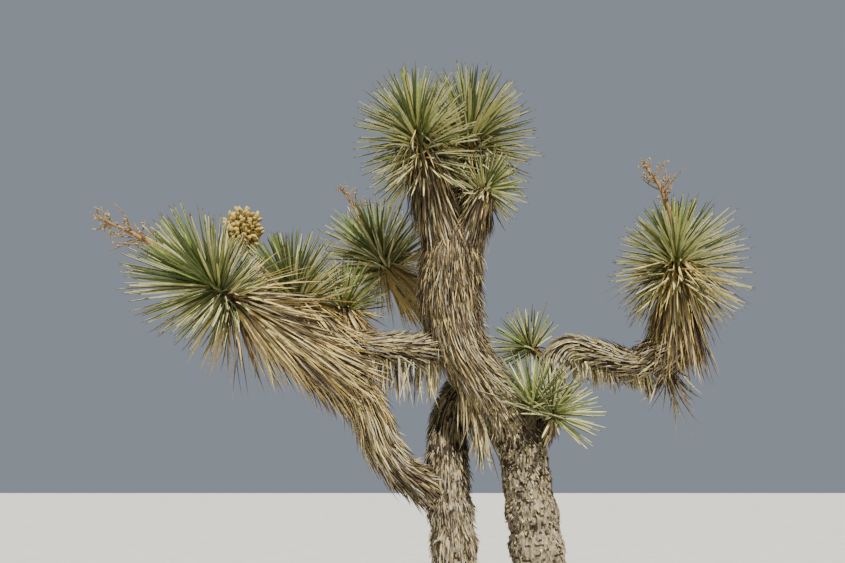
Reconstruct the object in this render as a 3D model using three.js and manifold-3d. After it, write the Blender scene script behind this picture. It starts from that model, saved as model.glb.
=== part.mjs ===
// A two-stemmed Joshua tree, 3.5 m tall, rooted in level ground. Millimetres, +Z up.
// The origin is the centre of the flat cut under the main trunk, and the tree is drawn as seen along +Y.
// Every limb and every head of leaves lies on a line of a few knots, and follows it with a named radius.
import * as THREE from "three";
import { mergeVertices } from "three/addons/utils/BufferGeometryUtils.js";
import Module from "manifold-3d";

const wasm = await Module();
wasm.setup();

// Driving sizes
const LEAF_LENGTH = 350; // a full-grown leaf of the largest heads
const LEAF_WIDTH = 25; // twice life, because each leaf here stands for about five
const LEAF_THICKNESS = 6;
const HEART_SIZE = 1.2; // the ball of leaf bases in the middle of a crown, times the neck's radius
const TRUNK_RADIUS = 100; // the main trunk at breast height, with its coat of dead leaf bases
const ROOT_FLARE = 125; // what the flare adds to the radius at the ground
const FLARE_HEIGHT = 170; // the flare falls to a third of that at this height
const GAP = 0.3; // between two pieces that touch
const SMALLEST_EDGE = 0.1; // shorter ones, left where leaves cross, are closed up
const RING_STEP = 85; // along a limb
const STEM_RING_STEP = 68; // along the two old stems, which are banded
const BAND_PITCH = 135; // from one raised band of a stem to the next
const BAND_DEPTH = 6; // how far a band stands above the stem's mean, and a furrow lies below it
const LOBES = 3; // low ridges that wind up a stem
const LOBE_DEPTH = 6;
const LOBE_TURN = 900; // the height in which they wind once round their own width
const BAND_TOP = 1300; // above this height the bands and lobes fade out
const BAND_END = 1550;
const LIMB_SIDES = 12;
const STALK_SIDES = 3;
const GOLDEN_ANGLE = Math.PI * (3 - Math.sqrt(5)); // between a leaf and the next round the stem
const BELOW_GROUND = 60; // how far a stem is drawn past its flat cut before it is cut
const SEED = 7;

const BARK = { color: 0x9c8b73, roughness: 0.95 };
const GREEN = { color: 0x7f8f5a, roughness: 0.55 };
const STRAW = { color: 0xb59b6b, roughness: 0.85 };

// A line's knots are [x, y, z, radius]. Its parts are named from the foot on, each up to the knot it ends at.
const R = TRUNK_RADIUS;
const LINES = {
  main: {
    knots: [
      [0, 0, -BELOW_GROUND, R * 1.3],
      [-10, 0, 350, R * 1.26],
      [-25, 0, 760, R * 1.2],
      [-47, 0, 1170, R * 1.12],
      [-92, 0, 1570, R],
      [-160, -20, 1722, R],
      [-254, -20, 1851, R * 1.03],
      [-340, 0, 1990, R * 1.22],
      [-388, 20, 2200, R * 1.45],
      [-385, 30, 2420, R * 1.55],
      [-372, 30, 2560, R * 1.15],
    ],
    parts: { trunk: 4, leader: 10 },
  },
  second: {
    knots: [
      [-290, 60, -BELOW_GROUND, R * 1.05],
      [-328, 72, 350, R * 1.02],
      [-360, 87, 760, R * 0.98],
      [-388, 110, 1160, R * 0.97],
      [-405, 170, 1560, R * 0.96],
      [-382, 230, 1720, R * 0.92],
      [-300, 300, 1900, R * 0.88],
      [-300, 370, 2110, R * 0.84],
      [-410, 420, 2275, R * 0.78],
      [-540, 440, 2360, R * 0.7],
    ],
    parts: { second_stem: 4, bough_back: 9 },
  },
  front: {
    knots: [
      [-405, 130, 1345, R * 0.7],
      [-509, 100, 1400, R * 0.68],
      [-612, 42, 1466, R * 0.7],
      [-690, 0, 1563, R * 0.78],
      [-740, -40, 1680, R * 0.8],
      [-800, -95, 1785, R * 0.78],
      [-895, -165, 1868, R * 0.74],
    ],
    parts: { bough_front_low: 3, bough_front_high: 6 },
  },
  level: {
    knots: [
      [-360, 0, 2018, R * 0.85],
      [-500, 15, 2003, R * 0.74],
      [-660, 28, 2003, R * 0.68],
      [-834, 50, 2020, R * 0.68],
      [-930, 58, 2050, R * 0.64],
    ],
    parts: { bough_level: 4 },
  },
  right: {
    knots: [
      [-70, 20, 1600, R * 0.75],
      [45, 60, 1735, R * 0.7],
      [84, 80, 1858, R * 0.6],
      [92, 80, 1955, R * 0.58],
      [152, 60, 2006, R * 0.6],
      [278, 22, 1976, R * 0.64],
      [392, -20, 1930, R * 0.65],
      [484, -50, 1918, R * 0.65],
    ],
    parts: { bough_right_rise: 3, bough_right_arm: 7 },
  },
  top_left: {
    knots: [
      [-400, 10, 2410, R * 0.8],
      [-448, -25, 2600, R * 0.88],
      [-480, -55, 2740, R * 0.72],
    ],
    parts: { bough_top_left: 2 },
  },
  top_right: {
    knots: [
      [-345, 50, 2430, R * 0.8],
      [-312, 80, 2650, R * 0.86],
      [-285, 105, 2850, R * 0.7],
    ],
    parts: { bough_top_right: 2 },
  },
  top_low: {
    knots: [
      [-330, 20, 2440, R * 0.75],
      [-280, -12, 2600, R * 0.72],
      [-250, -35, 2680, R * 0.6],
    ],
    parts: { bough_top_low: 2 },
  },
  far_left: {
    knots: [
      [-820, 50, 2020, R * 0.5],
      [-850, 110, 2100, R * 0.5],
      [-872, 150, 2150, R * 0.45],
    ],
    parts: { bough_far_left: 2 },
  },
};

// A head's stem runs on from its bough to the crown. Its skirt is the cone of dead leaves round that stem:
// radius at the foot, and the neck's under the crown. live and dead count the leaves, and reach is their length
// as a share of LEAF_LENGTH. open is the angle from the stem at which the lowest live leaves stand out, and low
// the share of the stem's length at which they grow. lean turns the crown away from the stem's own direction,
// and a leaf that points along short is shorter by that share.
// A tassel is a bunch of dead leaves that hangs from a bend in the stem.
const HEADS = {
  head_front: {
    stem: [[-895, -165, 1868], [-1010, -290, 1945], [-1156, -440, 2035], [-1296, -580, 2128]],
    skirt: 105, neck: 42, live: 52, dead: 30, reach: 1, open: 112,
    lean: [-0.25, 0, 0.3], short: [0.5, 0, 0.2],
    stalk: { tip: [-1748, -610, 2385], twigs: 9 },
  },
  head_mid_left: {
    stem: [[-930, 58, 2050], [-1020, 50, 2130], [-1090, 38, 2205], [-1138, 30, 2282]],
    skirt: 78, neck: 38, live: 44, dead: 12, reach: 0.88, open: 105,
    fruit: { at: [-1379, -20, 2562], radius: [80, 80, 88], pods: 16 },
  },
  head_far_left: {
    stem: [[-872, 150, 2150], [-898, 180, 2200], [-921, 200, 2251]],
    skirt: 50, neck: 32, live: 26, dead: 0, reach: 0.7, open: 100,
  },
  head_back: {
    stem: [[-540, 440, 2360], [-625, 450, 2425], [-700, 450, 2505], [-766, 450, 2600]],
    skirt: 80, neck: 36, live: 46, dead: 16, reach: 1, open: 102, lean: [0, 0, 0.4],
    stalk: { tip: [-985, 410, 2985], twigs: 6 },
  },
  head_top_left: {
    stem: [[-480, -55, 2740], [-516, -84, 2905], [-555, -102, 3075]],
    skirt: 88, neck: 42, live: 52, dead: 16, reach: 0.9, open: 128, low: 0.5,
  },
  head_top_right: {
    stem: [[-285, 105, 2850], [-278, 120, 3030], [-272, 130, 3200]],
    skirt: 86, neck: 42, live: 52, dead: 14, reach: 1.08, open: 124, low: 0.6,
  },
  head_top_low: {
    stem: [[-250, -35, 2680], [-236, -45, 2730], [-206, -55, 2770]],
    skirt: 62, neck: 36, live: 34, dead: 8, reach: 0.58, open: 112, lean: [1, -0.1, 0],
  },
  head_right: {
    stem: [[484, -50, 1918], [565, -68, 1970], [612, -82, 2090], [632, -96, 2265], [642, -100, 2440]],
    skirt: 92, neck: 40, live: 50, dead: 38, reach: 0.9, open: 124, low: 0.8, hang: 0.5, collar: 0.45,
    stalk: { tip: [538, -110, 2868], twigs: 8 },
    tassel: { at: [606, -82, 1962], leaves: 12 },
  },
  sprout_left: {
    stem: [[-85, -60, 1640], [-62, -95, 1690], [-50, -112, 1744]],
    skirt: 34, neck: 28, live: 24, dead: 0, reach: 0.78, open: 80,
  },
  sprout_right: {
    stem: [[0, -30, 1600], [26, -86, 1645], [38, -126, 1704]],
    skirt: 34, neck: 28, live: 28, dead: 4, reach: 0.74, open: 88,
  },
  sprout_back: {
    stem: [[90, 95, 1935], [38, 125, 1990], [-14, 142, 2034]],
    skirt: 32, neck: 26, live: 26, dead: 0, reach: 0.66, open: 92,
  },
};

// Dead leaves that hang in a row under a bough, from a thin seam along its underside.
const CURTAINS = {
  curtain_level: {
    seam: [[-480, 10, 1921], [-620, 22, 1924], [-760, 34, 1936]],
    radius: 16, leaves: 14, reach: 0.62,
  },
  curtain_leader: {
    seam: [[-226, -14, 1610], [-268, -22, 1686], [-340, -16, 1782]],
    radius: 16, leaves: 14, reach: 0.72,
  },
};

const up = new THREE.Vector3(0, 0, 1);
const vector = ([x, y, z]) => new THREE.Vector3(x, y, z);
const lerp = THREE.MathUtils.lerp;

// A repeatable row of numbers from 0 to 1.
function seeded(seed) {
  let state = seed;
  return () => {
    state = (state + 0x6d2b79f5) | 0;
    let t = Math.imul(state ^ (state >>> 15), 1 | state);
    t = (t + Math.imul(t ^ (t >>> 7), 61 | t)) ^ t;
    return ((t ^ (t >>> 14)) >>> 0) / 4294967296;
  };
}

// The smooth line through some knots, with the radius at any share t of the way.
function lineThrough(knots) {
  const curve = new THREE.CatmullRomCurve3(knots.map(vector), false, "centripetal");
  const last = knots.length - 1;
  const radiusAt = (t) => {
    const k = Math.min(Math.floor(t * last), last - 1);
    return lerp(knots[k][3], knots[k + 1][3], t * last - k);
  };
  return { curve, radiusAt };
}

// Stations from share t0 to t1 of a curve, each with a point and two directions across it that never twist.
function stationsAlong(curve, t0, t1, step = RING_STEP) {
  const chord = curve.getPoint(t0).distanceTo(curve.getPoint(t1));
  const steps = Math.max(3, Math.round(chord / step));
  const list = [];
  let across = new THREE.Vector3(0, 1, 0);
  for (let k = 0; k <= steps; k++) {
    const t = lerp(t0, t1, k / steps);
    const along = curve.getTangent(t);
    across = across.clone().addScaledVector(along, -across.dot(along)).normalize();
    list.push({ t, point: curve.getPoint(t), along, across, beside: across.clone().cross(along) });
  }
  return list;
}

// The raised bands and winding lobes of an old stem, at a height and an angle round it.
function stemRelief(height, angle) {
  const fade = 1 - THREE.MathUtils.smoothstep(height, BAND_TOP, BAND_END);
  const band = BAND_DEPTH * Math.cos((2 * Math.PI * (height + BELOW_GROUND)) / BAND_PITCH);
  const lobe = LOBE_DEPTH * Math.cos(LOBES * angle + (2 * Math.PI * height) / LOBE_TURN);
  return fade * (band + lobe);
}

// A turned body whose axis is bent to follow the stations, with flat ends square to the line.
function limbGeometry(stations, radiusAt, sides = LIMB_SIDES, relief = () => 0) {
  const end = stations.length - 1;
  const profile = stations.map((s, k) => new THREE.Vector2(radiusAt(s.t), k));
  const geometry = new THREE.LatheGeometry(
    [new THREE.Vector2(0, 0), ...profile, new THREE.Vector2(0, end)],
    sides,
  );
  const position = geometry.getAttribute("position");
  for (let i = 0; i < position.count; i++) {
    const s = stations[Math.round(position.getY(i))];
    const radius = Math.hypot(position.getX(i), position.getZ(i));
    const angle = Math.atan2(position.getZ(i), position.getX(i));
    const grown = radius > 0 ? radius + relief(s.point.z, angle) : 0;
    const bent = s.point
      .clone()
      .addScaledVector(s.across, grown * Math.cos(angle))
      .addScaledVector(s.beside, grown * Math.sin(angle));
    position.setXYZ(i, bent.x, bent.y, bent.z);
  }
  return geometry;
}

// A three.js geometry as a solid that can be joined and cut.
function solidOf(geometry) {
  const bare = geometry.index ? geometry.toNonIndexed() : geometry.clone();
  bare.deleteAttribute("normal");
  bare.deleteAttribute("uv");
  const merged = mergeVertices(bare, 1e-3);
  const corners = merged.index.array;
  const triVerts = [];
  for (let i = 0; i < corners.length; i += 3) {
    const [a, b, c] = corners.slice(i, i + 3);
    if (a !== b && b !== c && c !== a) triVerts.push(a, b, c);
  }
  return new wasm.Manifold(
    new wasm.Mesh({
      numProp: 3,
      vertProperties: merged.getAttribute("position").array,
      triVerts: new Uint32Array(triVerts),
    }),
  );
}

const largest = (bodies) => bodies.reduce((best, body) => (body.volume() > best.volume() ? body : best));

// The outer shell of a solid's largest body, without edges too short to keep, or the scraps that closing them
// leaves.
function wholeOf(solid) {
  const body = largest(solid.decompose()).asOriginal().simplify(SMALLEST_EDGE);
  return largest(solidOf(geometryOf(body)).decompose());
}

function geometryOf(solid) {
  const mesh = solid.getMesh();
  return new THREE.BufferGeometry()
    .setAttribute("position", new THREE.BufferAttribute(new Float32Array(mesh.vertProperties), 3))
    .setIndex(new THREE.BufferAttribute(new Uint32Array(mesh.triVerts), 1));
}

// A four-sided blade from root to tip, widest a quarter of the way out, with its flat side towards the stem.
function bladeGeometry(root, tip, width, thickness, face) {
  const length = root.distanceTo(tip);
  const along = tip.clone().sub(root).normalize();
  const side = along.clone().cross(face).normalize();
  const flat = along.clone().cross(side);
  const blade = new THREE.OctahedronGeometry(0.5, 0);
  const position = blade.getAttribute("position");
  for (let i = 0; i < position.count; i++) {
    const z = position.getZ(i);
    position.setZ(i, Math.abs(z) < 0.1 ? 0.25 : z < 0 ? 0 : 1);
  }
  blade.scale(width, thickness, length);
  return blade.applyMatrix4(new THREE.Matrix4().makeBasis(side, flat, along).setPosition(root));
}

// A thin three-sided twig from one point to another, tapering to a blunt end.
function twigGeometry(from, to, thick, thin) {
  const twig = new THREE.CylinderGeometry(thin, thick, from.distanceTo(to), STALK_SIDES);
  twig.rotateX(Math.PI / 2);
  twig.translate(0, 0, from.distanceTo(to) / 2);
  const turn = new THREE.Quaternion().setFromUnitVectors(up, to.clone().sub(from).normalize());
  return twig.applyQuaternion(turn).translate(from.x, from.y, from.z);
}

// What is already placed, as rods with a radius, so that a leaf can be kept clear of it.
const rods = [];

function distanceBetween(a, b, c, d) {
  const u = b.clone().sub(a);
  const v = d.clone().sub(c);
  const w = a.clone().sub(c);
  const [uu, uv, vv, uw, vw] = [u.dot(u), u.dot(v), v.dot(v), u.dot(w), v.dot(w)];
  const clamp = (x) => THREE.MathUtils.clamp(x, 0, 1);
  const cross = uu * vv - uv * uv;
  let s = cross > 1e-6 ? clamp((uv * vw - vv * uw) / cross) : 0;
  const t = clamp((uv * s + vw) / vv);
  s = clamp((uv * t - uw) / uu);
  return a.clone().addScaledVector(u, s).distanceTo(c.clone().addScaledVector(v, t));
}

function isClear(owner, from, to, radius) {
  return rods.every(
    (rod) => rod.owner === owner || distanceBetween(from, to, rod.from, rod.to) > rod.radius + radius,
  );
}

function addRods(owner, stations, radiusAt) {
  stations.slice(1).forEach((s, k) => {
    const before = stations[k];
    const radius = Math.max(radiusAt(s.t), radiusAt(before.t)) + GAP;
    rods.push({ owner, from: before.point, to: s.point, radius });
  });
}

const tree = new THREE.Group();
const cutters = [];

// Cuts a piece clear of every limb and stem placed before it, and adds it to the tree.
function place(name, solid, finish) {
  const clear = cutters.reduce((left, cutter) => left.subtract(cutter), solid);
  const mesh = new THREE.Mesh(geometryOf(wholeOf(clear)), new THREE.MeshStandardMaterial(finish));
  mesh.name = name;
  tree.add(mesh);
}

const soil = solidOf(new THREE.BoxGeometry(4000, 4000, 1000).translate(0, 0, -500));

// The limbs of one line, each its own piece, with the root flare where the line starts in the ground.
function placeLine({ knots, parts }) {
  const { curve, radiusAt } = lineThrough(knots);
  const rooted = knots[0][2] < 0;
  const relief = rooted ? stemRelief : undefined;
  const flared = (grow) => (t) => {
    const height = curve.getPoint(t).z;
    const flare = rooted ? ROOT_FLARE * Math.exp(-Math.max(height, 0) / FLARE_HEIGHT) : 0;
    return radiusAt(t) + flare + grow;
  };
  let from = 0;
  const grown = [];
  for (const [name, knot] of Object.entries(parts)) {
    const to = knot / (knots.length - 1);
    const stations = stationsAlong(curve, from, to, rooted && from === 0 ? STEM_RING_STEP : RING_STEP);
    if (from > 0) stations[0].point.addScaledVector(stations[0].along, GAP);
    place(name, solidOf(limbGeometry(stations, flared(0), LIMB_SIDES, relief)).subtract(soil), BARK);
    addRods(name, stations, flared(0));
    stations[0].point.addScaledVector(stations[0].along, -GAP);
    stations.at(-1).point.addScaledVector(stations.at(-1).along, GAP);
    grown.push(solidOf(limbGeometry(stations, flared(GAP), LIMB_SIDES, relief)));
    from = to;
  }
  cutters.push(...grown);
}

// A direction that stands out from a stem at an angle, turned round it by phi, and pulled down by sag.
function leafDirection(station, phi, angle, sag) {
  return station.along
    .clone()
    .multiplyScalar(Math.cos(angle))
    .addScaledVector(station.across, Math.sin(angle) * Math.cos(phi))
    .addScaledVector(station.beside, Math.sin(angle) * Math.sin(phi))
    .addScaledVector(up, -sag)
    .normalize();
}

// One leaf sunk to the middle of its stem, or nothing where it would touch a neighbour.
function leafAt(name, root, direction, length, thickness, face) {
  const tip = root.clone().addScaledVector(direction, length);
  if (tip.z < 0 || !isClear(name, root.clone().lerp(tip, 0.1), tip, LEAF_WIDTH / 2 + 4)) return [];
  rods.push({ owner: name, from: root, to: tip, radius: LEAF_WIDTH / 2 });
  return [bladeGeometry(root, tip, LEAF_WIDTH, thickness, face)];
}

// A station whose axis is turned by a vector, with new directions across it.
function leaning(station, lean) {
  const along = station.along.clone().add(vector(lean)).normalize();
  const across = new THREE.Vector3(0, 1, 0).addScaledVector(along, -along.y).normalize();
  return { ...station, along, across, beside: across.clone().cross(along) };
}

// Live leaves on a spiral from the crown's tip down, steadily further from the stem.
function liveLeaves(name, head, curve, random) {
  const leaves = [];
  const widest = 1 - Math.cos(THREE.MathUtils.degToRad(head.open));
  for (let i = 0; i < head.live; i++) {
    const share = (i + 0.5) / head.live;
    const [upright] = stationsAlong(curve, lerp(0.99, head.low ?? 0.92, share), 1);
    const station = leaning(upright, head.lean ?? [0, 0, 0]);
    const angle = Math.acos(1 - widest * share);
    const direction = leafDirection(station, i * GOLDEN_ANGLE, angle, 0.06 * share);
    const kept = 1 - Math.max(0, direction.dot(vector(head.short ?? [0, 0, 0])));
    const length = LEAF_LENGTH * head.reach * kept * lerp(0.9, 1.04, random());
    leaves.push(...leafAt(name, station.point, direction, length, LEAF_THICKNESS, station.along));
  }
  return leaves;
}

// Dead leaves folded back along the stem, hanging more the steeper they are.
function deadLeaves(name, head, curve, random) {
  const leaves = [];
  for (let i = 0; i < head.dead; i++) {
    const share = (i + 0.5) / head.dead;
    const [station] = stationsAlong(curve, lerp(0.86, 0.12, share), 1);
    const angle = THREE.MathUtils.degToRad(lerp(125, 150, random()));
    const direction = leafDirection(station, i * GOLDEN_ANGLE + 1, angle, head.hang ?? 0.35);
    const length = LEAF_LENGTH * head.reach * lerp(0.85, 1, random());
    leaves.push(...leafAt(name, station.point, direction, length, LEAF_THICKNESS, station.along));
  }
  return leaves;
}

// Dead leaves that hang together from a point inside the stem.
function tasselLeaves(name, { at, leaves }, random) {
  const list = [];
  for (let i = 0; i < leaves; i++) {
    const lean = 0.32 * Math.sqrt((i + 0.5) / leaves);
    const turn = i * GOLDEN_ANGLE;
    const direction = new THREE.Vector3(lean * Math.cos(turn), lean * Math.sin(turn), -1).normalize();
    const length = LEAF_LENGTH * lerp(0.68, 0.86, random());
    const face = new THREE.Vector3(Math.cos(turn), Math.sin(turn), 0.3);
    list.push(...leafAt(name, vector(at), direction, length, LEAF_THICKNESS, face));
  }
  return list;
}

// An old flower stalk that leaves the crown beside its axis, with short bare twigs near the end.
function oldStalk(name, foot, { tip, twigs }, random) {
  const end = vector(tip);
  const run = end.clone().sub(foot);
  const pieces = [twigGeometry(foot, end, 13, 6)];
  for (let i = 0; i < twigs; i++) {
    const share = lerp(0.5, 0.97, i / (twigs - 1));
    const from = foot.clone().addScaledVector(run, share - 0.02);
    const side = new THREE.Vector3(random() - 0.5, random() - 0.5, random() - 0.2).normalize();
    const to = from.clone().addScaledVector(run.clone().normalize().multiplyScalar(0.7).add(side), 72);
    pieces.push(twigGeometry(from, to, 6, 3.5));
  }
  rods.push({ owner: name, from: foot, to: end, radius: 30 });
  return pieces;
}

// A close bunch of pods on a stalk.
function fruitBunch(name, foot, { at, radius, pods }) {
  const centre = vector(at);
  const core = new THREE.IcosahedronGeometry(0.82, 1).scale(...radius).translate(...at);
  const pieces = [twigGeometry(foot, centre, 14, 11), core];
  for (let i = 0; i < pods; i++) {
    const height = 1 - (2 * i + 1) / pods;
    const round = Math.sqrt(1 - height * height);
    const out = new THREE.Vector3(
      round * Math.cos(i * GOLDEN_ANGLE) * radius[0],
      round * Math.sin(i * GOLDEN_ANGLE) * radius[1],
      height * radius[2],
    );
    pieces.push(new THREE.OctahedronGeometry(30, 0).scale(1, 1, 1.3).translate(...out.add(centre).toArray()));
  }
  rods.push({ owner: name, from: foot, to: centre, radius: radius[0] * 0.8 });
  return pieces;
}

// A head: its stem with the skirt's core round it, live leaves, dead leaves, and its old stalk or its fruit.
function placeHead(name, head, random) {
  const { curve } = lineThrough(head.stem.map((p) => [...p, 0]));
  const stations = stationsAlong(curve, 0, 1);
  const collar = head.collar ?? 0.1;
  const stemRadius = (t) => {
    if (t > 0.9) return lerp(head.neck, head.neck * 0.45, (t - 0.9) / 0.1);
    return lerp(head.skirt, head.neck, THREE.MathUtils.smoothstep(t, collar, 0.9));
  };
  stations[0].point.addScaledVector(stations[0].along, GAP);
  const crown = stations.at(-1).point.clone().addScaledVector(stations.at(-1).along, -head.neck);
  const heart = curve.getPoint(0.96);
  const pieces = [
    limbGeometry(stations, stemRadius),
    new THREE.IcosahedronGeometry(head.neck * HEART_SIZE, 1).translate(heart.x, heart.y, heart.z),
  ];
  if (head.stalk) pieces.push(...oldStalk(name, crown, head.stalk, random));
  if (head.fruit) pieces.push(...fruitBunch(name, crown, head.fruit));
  pieces.push(...liveLeaves(name, head, curve, random), ...deadLeaves(name, head, curve, random));
  if (head.tassel) pieces.push(...tasselLeaves(name, head.tassel, random));
  place(name, wasm.Manifold.union(pieces.map(solidOf)), head.dead > 20 ? STRAW : GREEN);
}

// A head's core keeps later heads clear of it from the start, so every core is known before any leaf is set.
function reserveHead(name, head) {
  const { curve } = lineThrough(head.stem.map((p) => [...p, 0]));
  addRods(name, stationsAlong(curve, 0, 1), (t) => lerp(head.skirt, head.neck, t));
}

function placeCurtain(name, { seam, radius, leaves, reach }, random) {
  const { curve } = lineThrough(seam.map((p) => [...p, 0]));
  const stations = stationsAlong(curve, 0, 1);
  const pieces = [limbGeometry(stations, () => radius, 6)];
  for (let i = 0; i < leaves; i++) {
    const root = curve.getPoint(lerp(0.04, 0.96, i / (leaves - 1)));
    root.z -= radius * 0.3;
    const side = lerp(-0.2, 0.35, random());
    const direction = new THREE.Vector3(side, lerp(-0.3, 0.3, random()), -1).normalize();
    const length = LEAF_LENGTH * reach * lerp(0.6, 1, random());
    pieces.push(...leafAt(name, root, direction, length, LEAF_THICKNESS, new THREE.Vector3(0, 1, 0)));
  }
  place(name, wasm.Manifold.union(pieces.map(solidOf)), STRAW);
}

Object.values(LINES).forEach(placeLine);
Object.entries(HEADS).forEach(([name, head]) => reserveHead(name, head));
Object.entries(HEADS).forEach(([name, head], i) => placeHead(name, head, seeded(SEED + i)));
Object.entries(CURTAINS).forEach(([name, curtain], i) => placeCurtain(name, curtain, seeded(SEED + 100 + i)));

export default tree;
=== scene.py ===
"""A two-stemmed Joshua tree with shaggy boughs and round heads of dagger leaves, in metres, +Z up.

Limbs are relief surfaces carried along smooth lines. Every leaf, live or dead, is a keeled blade swept
along its own centre line, and the leaves of a limb or a head are worked out together as arrays.
"""

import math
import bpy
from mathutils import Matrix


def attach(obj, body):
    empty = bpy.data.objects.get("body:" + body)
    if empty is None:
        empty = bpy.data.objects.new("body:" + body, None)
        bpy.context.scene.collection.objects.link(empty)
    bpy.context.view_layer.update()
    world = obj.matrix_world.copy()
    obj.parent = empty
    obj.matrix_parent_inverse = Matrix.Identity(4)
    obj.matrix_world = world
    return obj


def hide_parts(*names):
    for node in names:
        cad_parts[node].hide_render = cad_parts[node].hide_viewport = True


bl_info = {
    "name": "Joshua Tree",
    "version": (1, 0, 0),
    "blender": (4, 5, 0),
    "location": "View3D > Sidebar > Joshua Tree",
    "description": "Grows a Joshua tree's bark, thatch, leaf heads, stalks and pods round its plain solids",
    "category": "Object",
}

from types import SimpleNamespace

import bpy
import numpy as np

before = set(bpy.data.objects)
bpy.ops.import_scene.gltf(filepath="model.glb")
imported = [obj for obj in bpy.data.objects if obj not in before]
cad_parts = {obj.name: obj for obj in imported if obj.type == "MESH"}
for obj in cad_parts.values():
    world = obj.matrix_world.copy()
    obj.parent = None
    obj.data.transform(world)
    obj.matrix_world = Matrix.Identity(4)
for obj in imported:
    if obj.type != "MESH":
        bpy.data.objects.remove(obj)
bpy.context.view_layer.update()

GOLDEN_ANGLE = math.pi * (3 - math.sqrt(5))
BODY = "root"
DOWN = np.array([0.0, 0.0, -1.0])

# What is added to the seed for each group of pieces, and for each scale of ridges and the creases.
SEEDS = {"heads": 50, "curtains": 80, "stalks": 90, "fruit": 99, "ridges": 31, "creases": 7}

# A limb's line: knots of x, y, z and the radius as a share of the trunk's. A node lies between two knots.
LINES = {
    "main": {
        "knots": [
            (0.0, 0.0, -0.06, 1.3),
            (-0.01, 0.0, 0.35, 1.26),
            (-0.025, 0.0, 0.76, 1.2),
            (-0.047, 0.0, 1.17, 1.12),
            (-0.092, 0.0, 1.57, 1.0),
            (-0.16, -0.02, 1.722, 1.0),
            (-0.254, -0.02, 1.851, 1.03),
            (-0.34, 0.0, 1.99, 1.22),
            (-0.388, 0.02, 2.2, 1.45),
            (-0.385, 0.03, 2.42, 1.55),
            (-0.372, 0.03, 2.56, 1.15),
        ],
        "nodes": {"trunk": (0, 4), "leader": (4, 10)},
    },
    "second": {
        "knots": [
            (-0.29, 0.06, -0.06, 1.05),
            (-0.328, 0.072, 0.35, 1.02),
            (-0.36, 0.087, 0.76, 0.98),
            (-0.388, 0.11, 1.16, 0.97),
            (-0.405, 0.17, 1.56, 0.96),
            (-0.382, 0.23, 1.72, 0.92),
            (-0.3, 0.3, 1.9, 0.88),
            (-0.3, 0.37, 2.11, 0.84),
            (-0.41, 0.42, 2.275, 0.78),
            (-0.54, 0.44, 2.36, 0.7),
        ],
        "nodes": {"second_stem": (0, 4), "bough_back": (4, 9)},
    },
    "front": {
        "knots": [
            (-0.405, 0.13, 1.345, 0.7),
            (-0.509, 0.1, 1.4, 0.68),
            (-0.612, 0.042, 1.466, 0.7),
            (-0.69, 0.0, 1.563, 0.78),
            (-0.74, -0.04, 1.68, 0.8),
            (-0.8, -0.095, 1.785, 0.78),
            (-0.895, -0.165, 1.868, 0.74),
        ],
        "nodes": {"bough_front_low": (0, 3), "bough_front_high": (3, 6)},
    },
    "level": {
        "knots": [
            (-0.36, 0.0, 2.018, 0.85),
            (-0.5, 0.015, 2.003, 0.74),
            (-0.66, 0.028, 2.003, 0.68),
            (-0.834, 0.05, 2.02, 0.68),
            (-0.93, 0.058, 2.05, 0.64),
        ],
        "nodes": {"bough_level": (0, 4)},
    },
    "right": {
        "knots": [
            (-0.07, 0.02, 1.6, 0.75),
            (0.045, 0.06, 1.735, 0.7),
            (0.084, 0.08, 1.858, 0.6),
            (0.092, 0.08, 1.955, 0.58),
            (0.152, 0.06, 2.006, 0.6),
            (0.278, 0.022, 1.976, 0.64),
            (0.392, -0.02, 1.93, 0.65),
            (0.484, -0.05, 1.918, 0.65),
        ],
        "nodes": {"bough_right_rise": (0, 3), "bough_right_arm": (3, 7)},
    },
    "top_left": {
        "knots": [(-0.4, 0.01, 2.41, 0.8), (-0.448, -0.025, 2.6, 0.88), (-0.48, -0.055, 2.74, 0.72)],
        "nodes": {"bough_top_left": (0, 2)},
    },
    "top_right": {
        "knots": [(-0.345, 0.05, 2.43, 0.8), (-0.312, 0.08, 2.65, 0.86), (-0.285, 0.105, 2.85, 0.7)],
        "nodes": {"bough_top_right": (0, 2)},
    },
    "top_low": {
        "knots": [(-0.33, 0.02, 2.44, 0.75), (-0.28, -0.012, 2.6, 0.72), (-0.25, -0.035, 2.68, 0.6)],
        "nodes": {"bough_top_low": (0, 2)},
    },
    "far_left": {
        "knots": [(-0.82, 0.05, 2.02, 0.5), (-0.85, 0.11, 2.1, 0.5), (-0.872, 0.15, 2.15, 0.45)],
        "nodes": {"bough_far_left": (0, 2)},
    },
}

# How often a dead leaf is gold, straw, tan, brown or grey. The brown is painted shade, so a mix with much of
# it paints the shade in a coat or under a crown.
STUBS = (0.0, 0.36, 0.28, 0.07, 0.29)
WORN = (0.02, 0.2, 0.3, 0.26, 0.22)
SHADED = (0.05, 0.13, 0.24, 0.4, 0.18)
PALE = (0.02, 0.38, 0.28, 0.1, 0.22)
GREY = (0.0, 0.28, 0.22, 0.14, 0.36)
OLD = (0.02, 0.06, 0.28, 0.42, 0.22)
DARK = (0.08, 0.05, 0.2, 0.63, 0.04)
WARM = (0.3, 0.16, 0.14, 0.38, 0.02)
# The next mix, pale gold and straw with little brown, is painted light for the back head's skirt, which lies
# in the crowns' shade.
SUNLIT = (0.4, 0.36, 0.14, 0.1, 0.0)
RUSTY = (0.26, 0.08, 0.14, 0.5, 0.02)
NEWLY = (0.34, 0.2, 0.1, 0.35, 0.01)
SHADY = (0.2, 0.2, 0.2, 0.4, 0.0)
FADED = (0.04, 0.36, 0.28, 0.14, 0.18)

# How often a live leaf is deep, olive, grey, fresh or yellow green: young, full-grown and old ones.
LIVE_MIXES = ((0.3, 0.26, 0.06, 0.36, 0.02), (0.26, 0.34, 0.3, 0.04, 0.06), (0.16, 0.2, 0.26, 0.02, 0.34))

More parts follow.
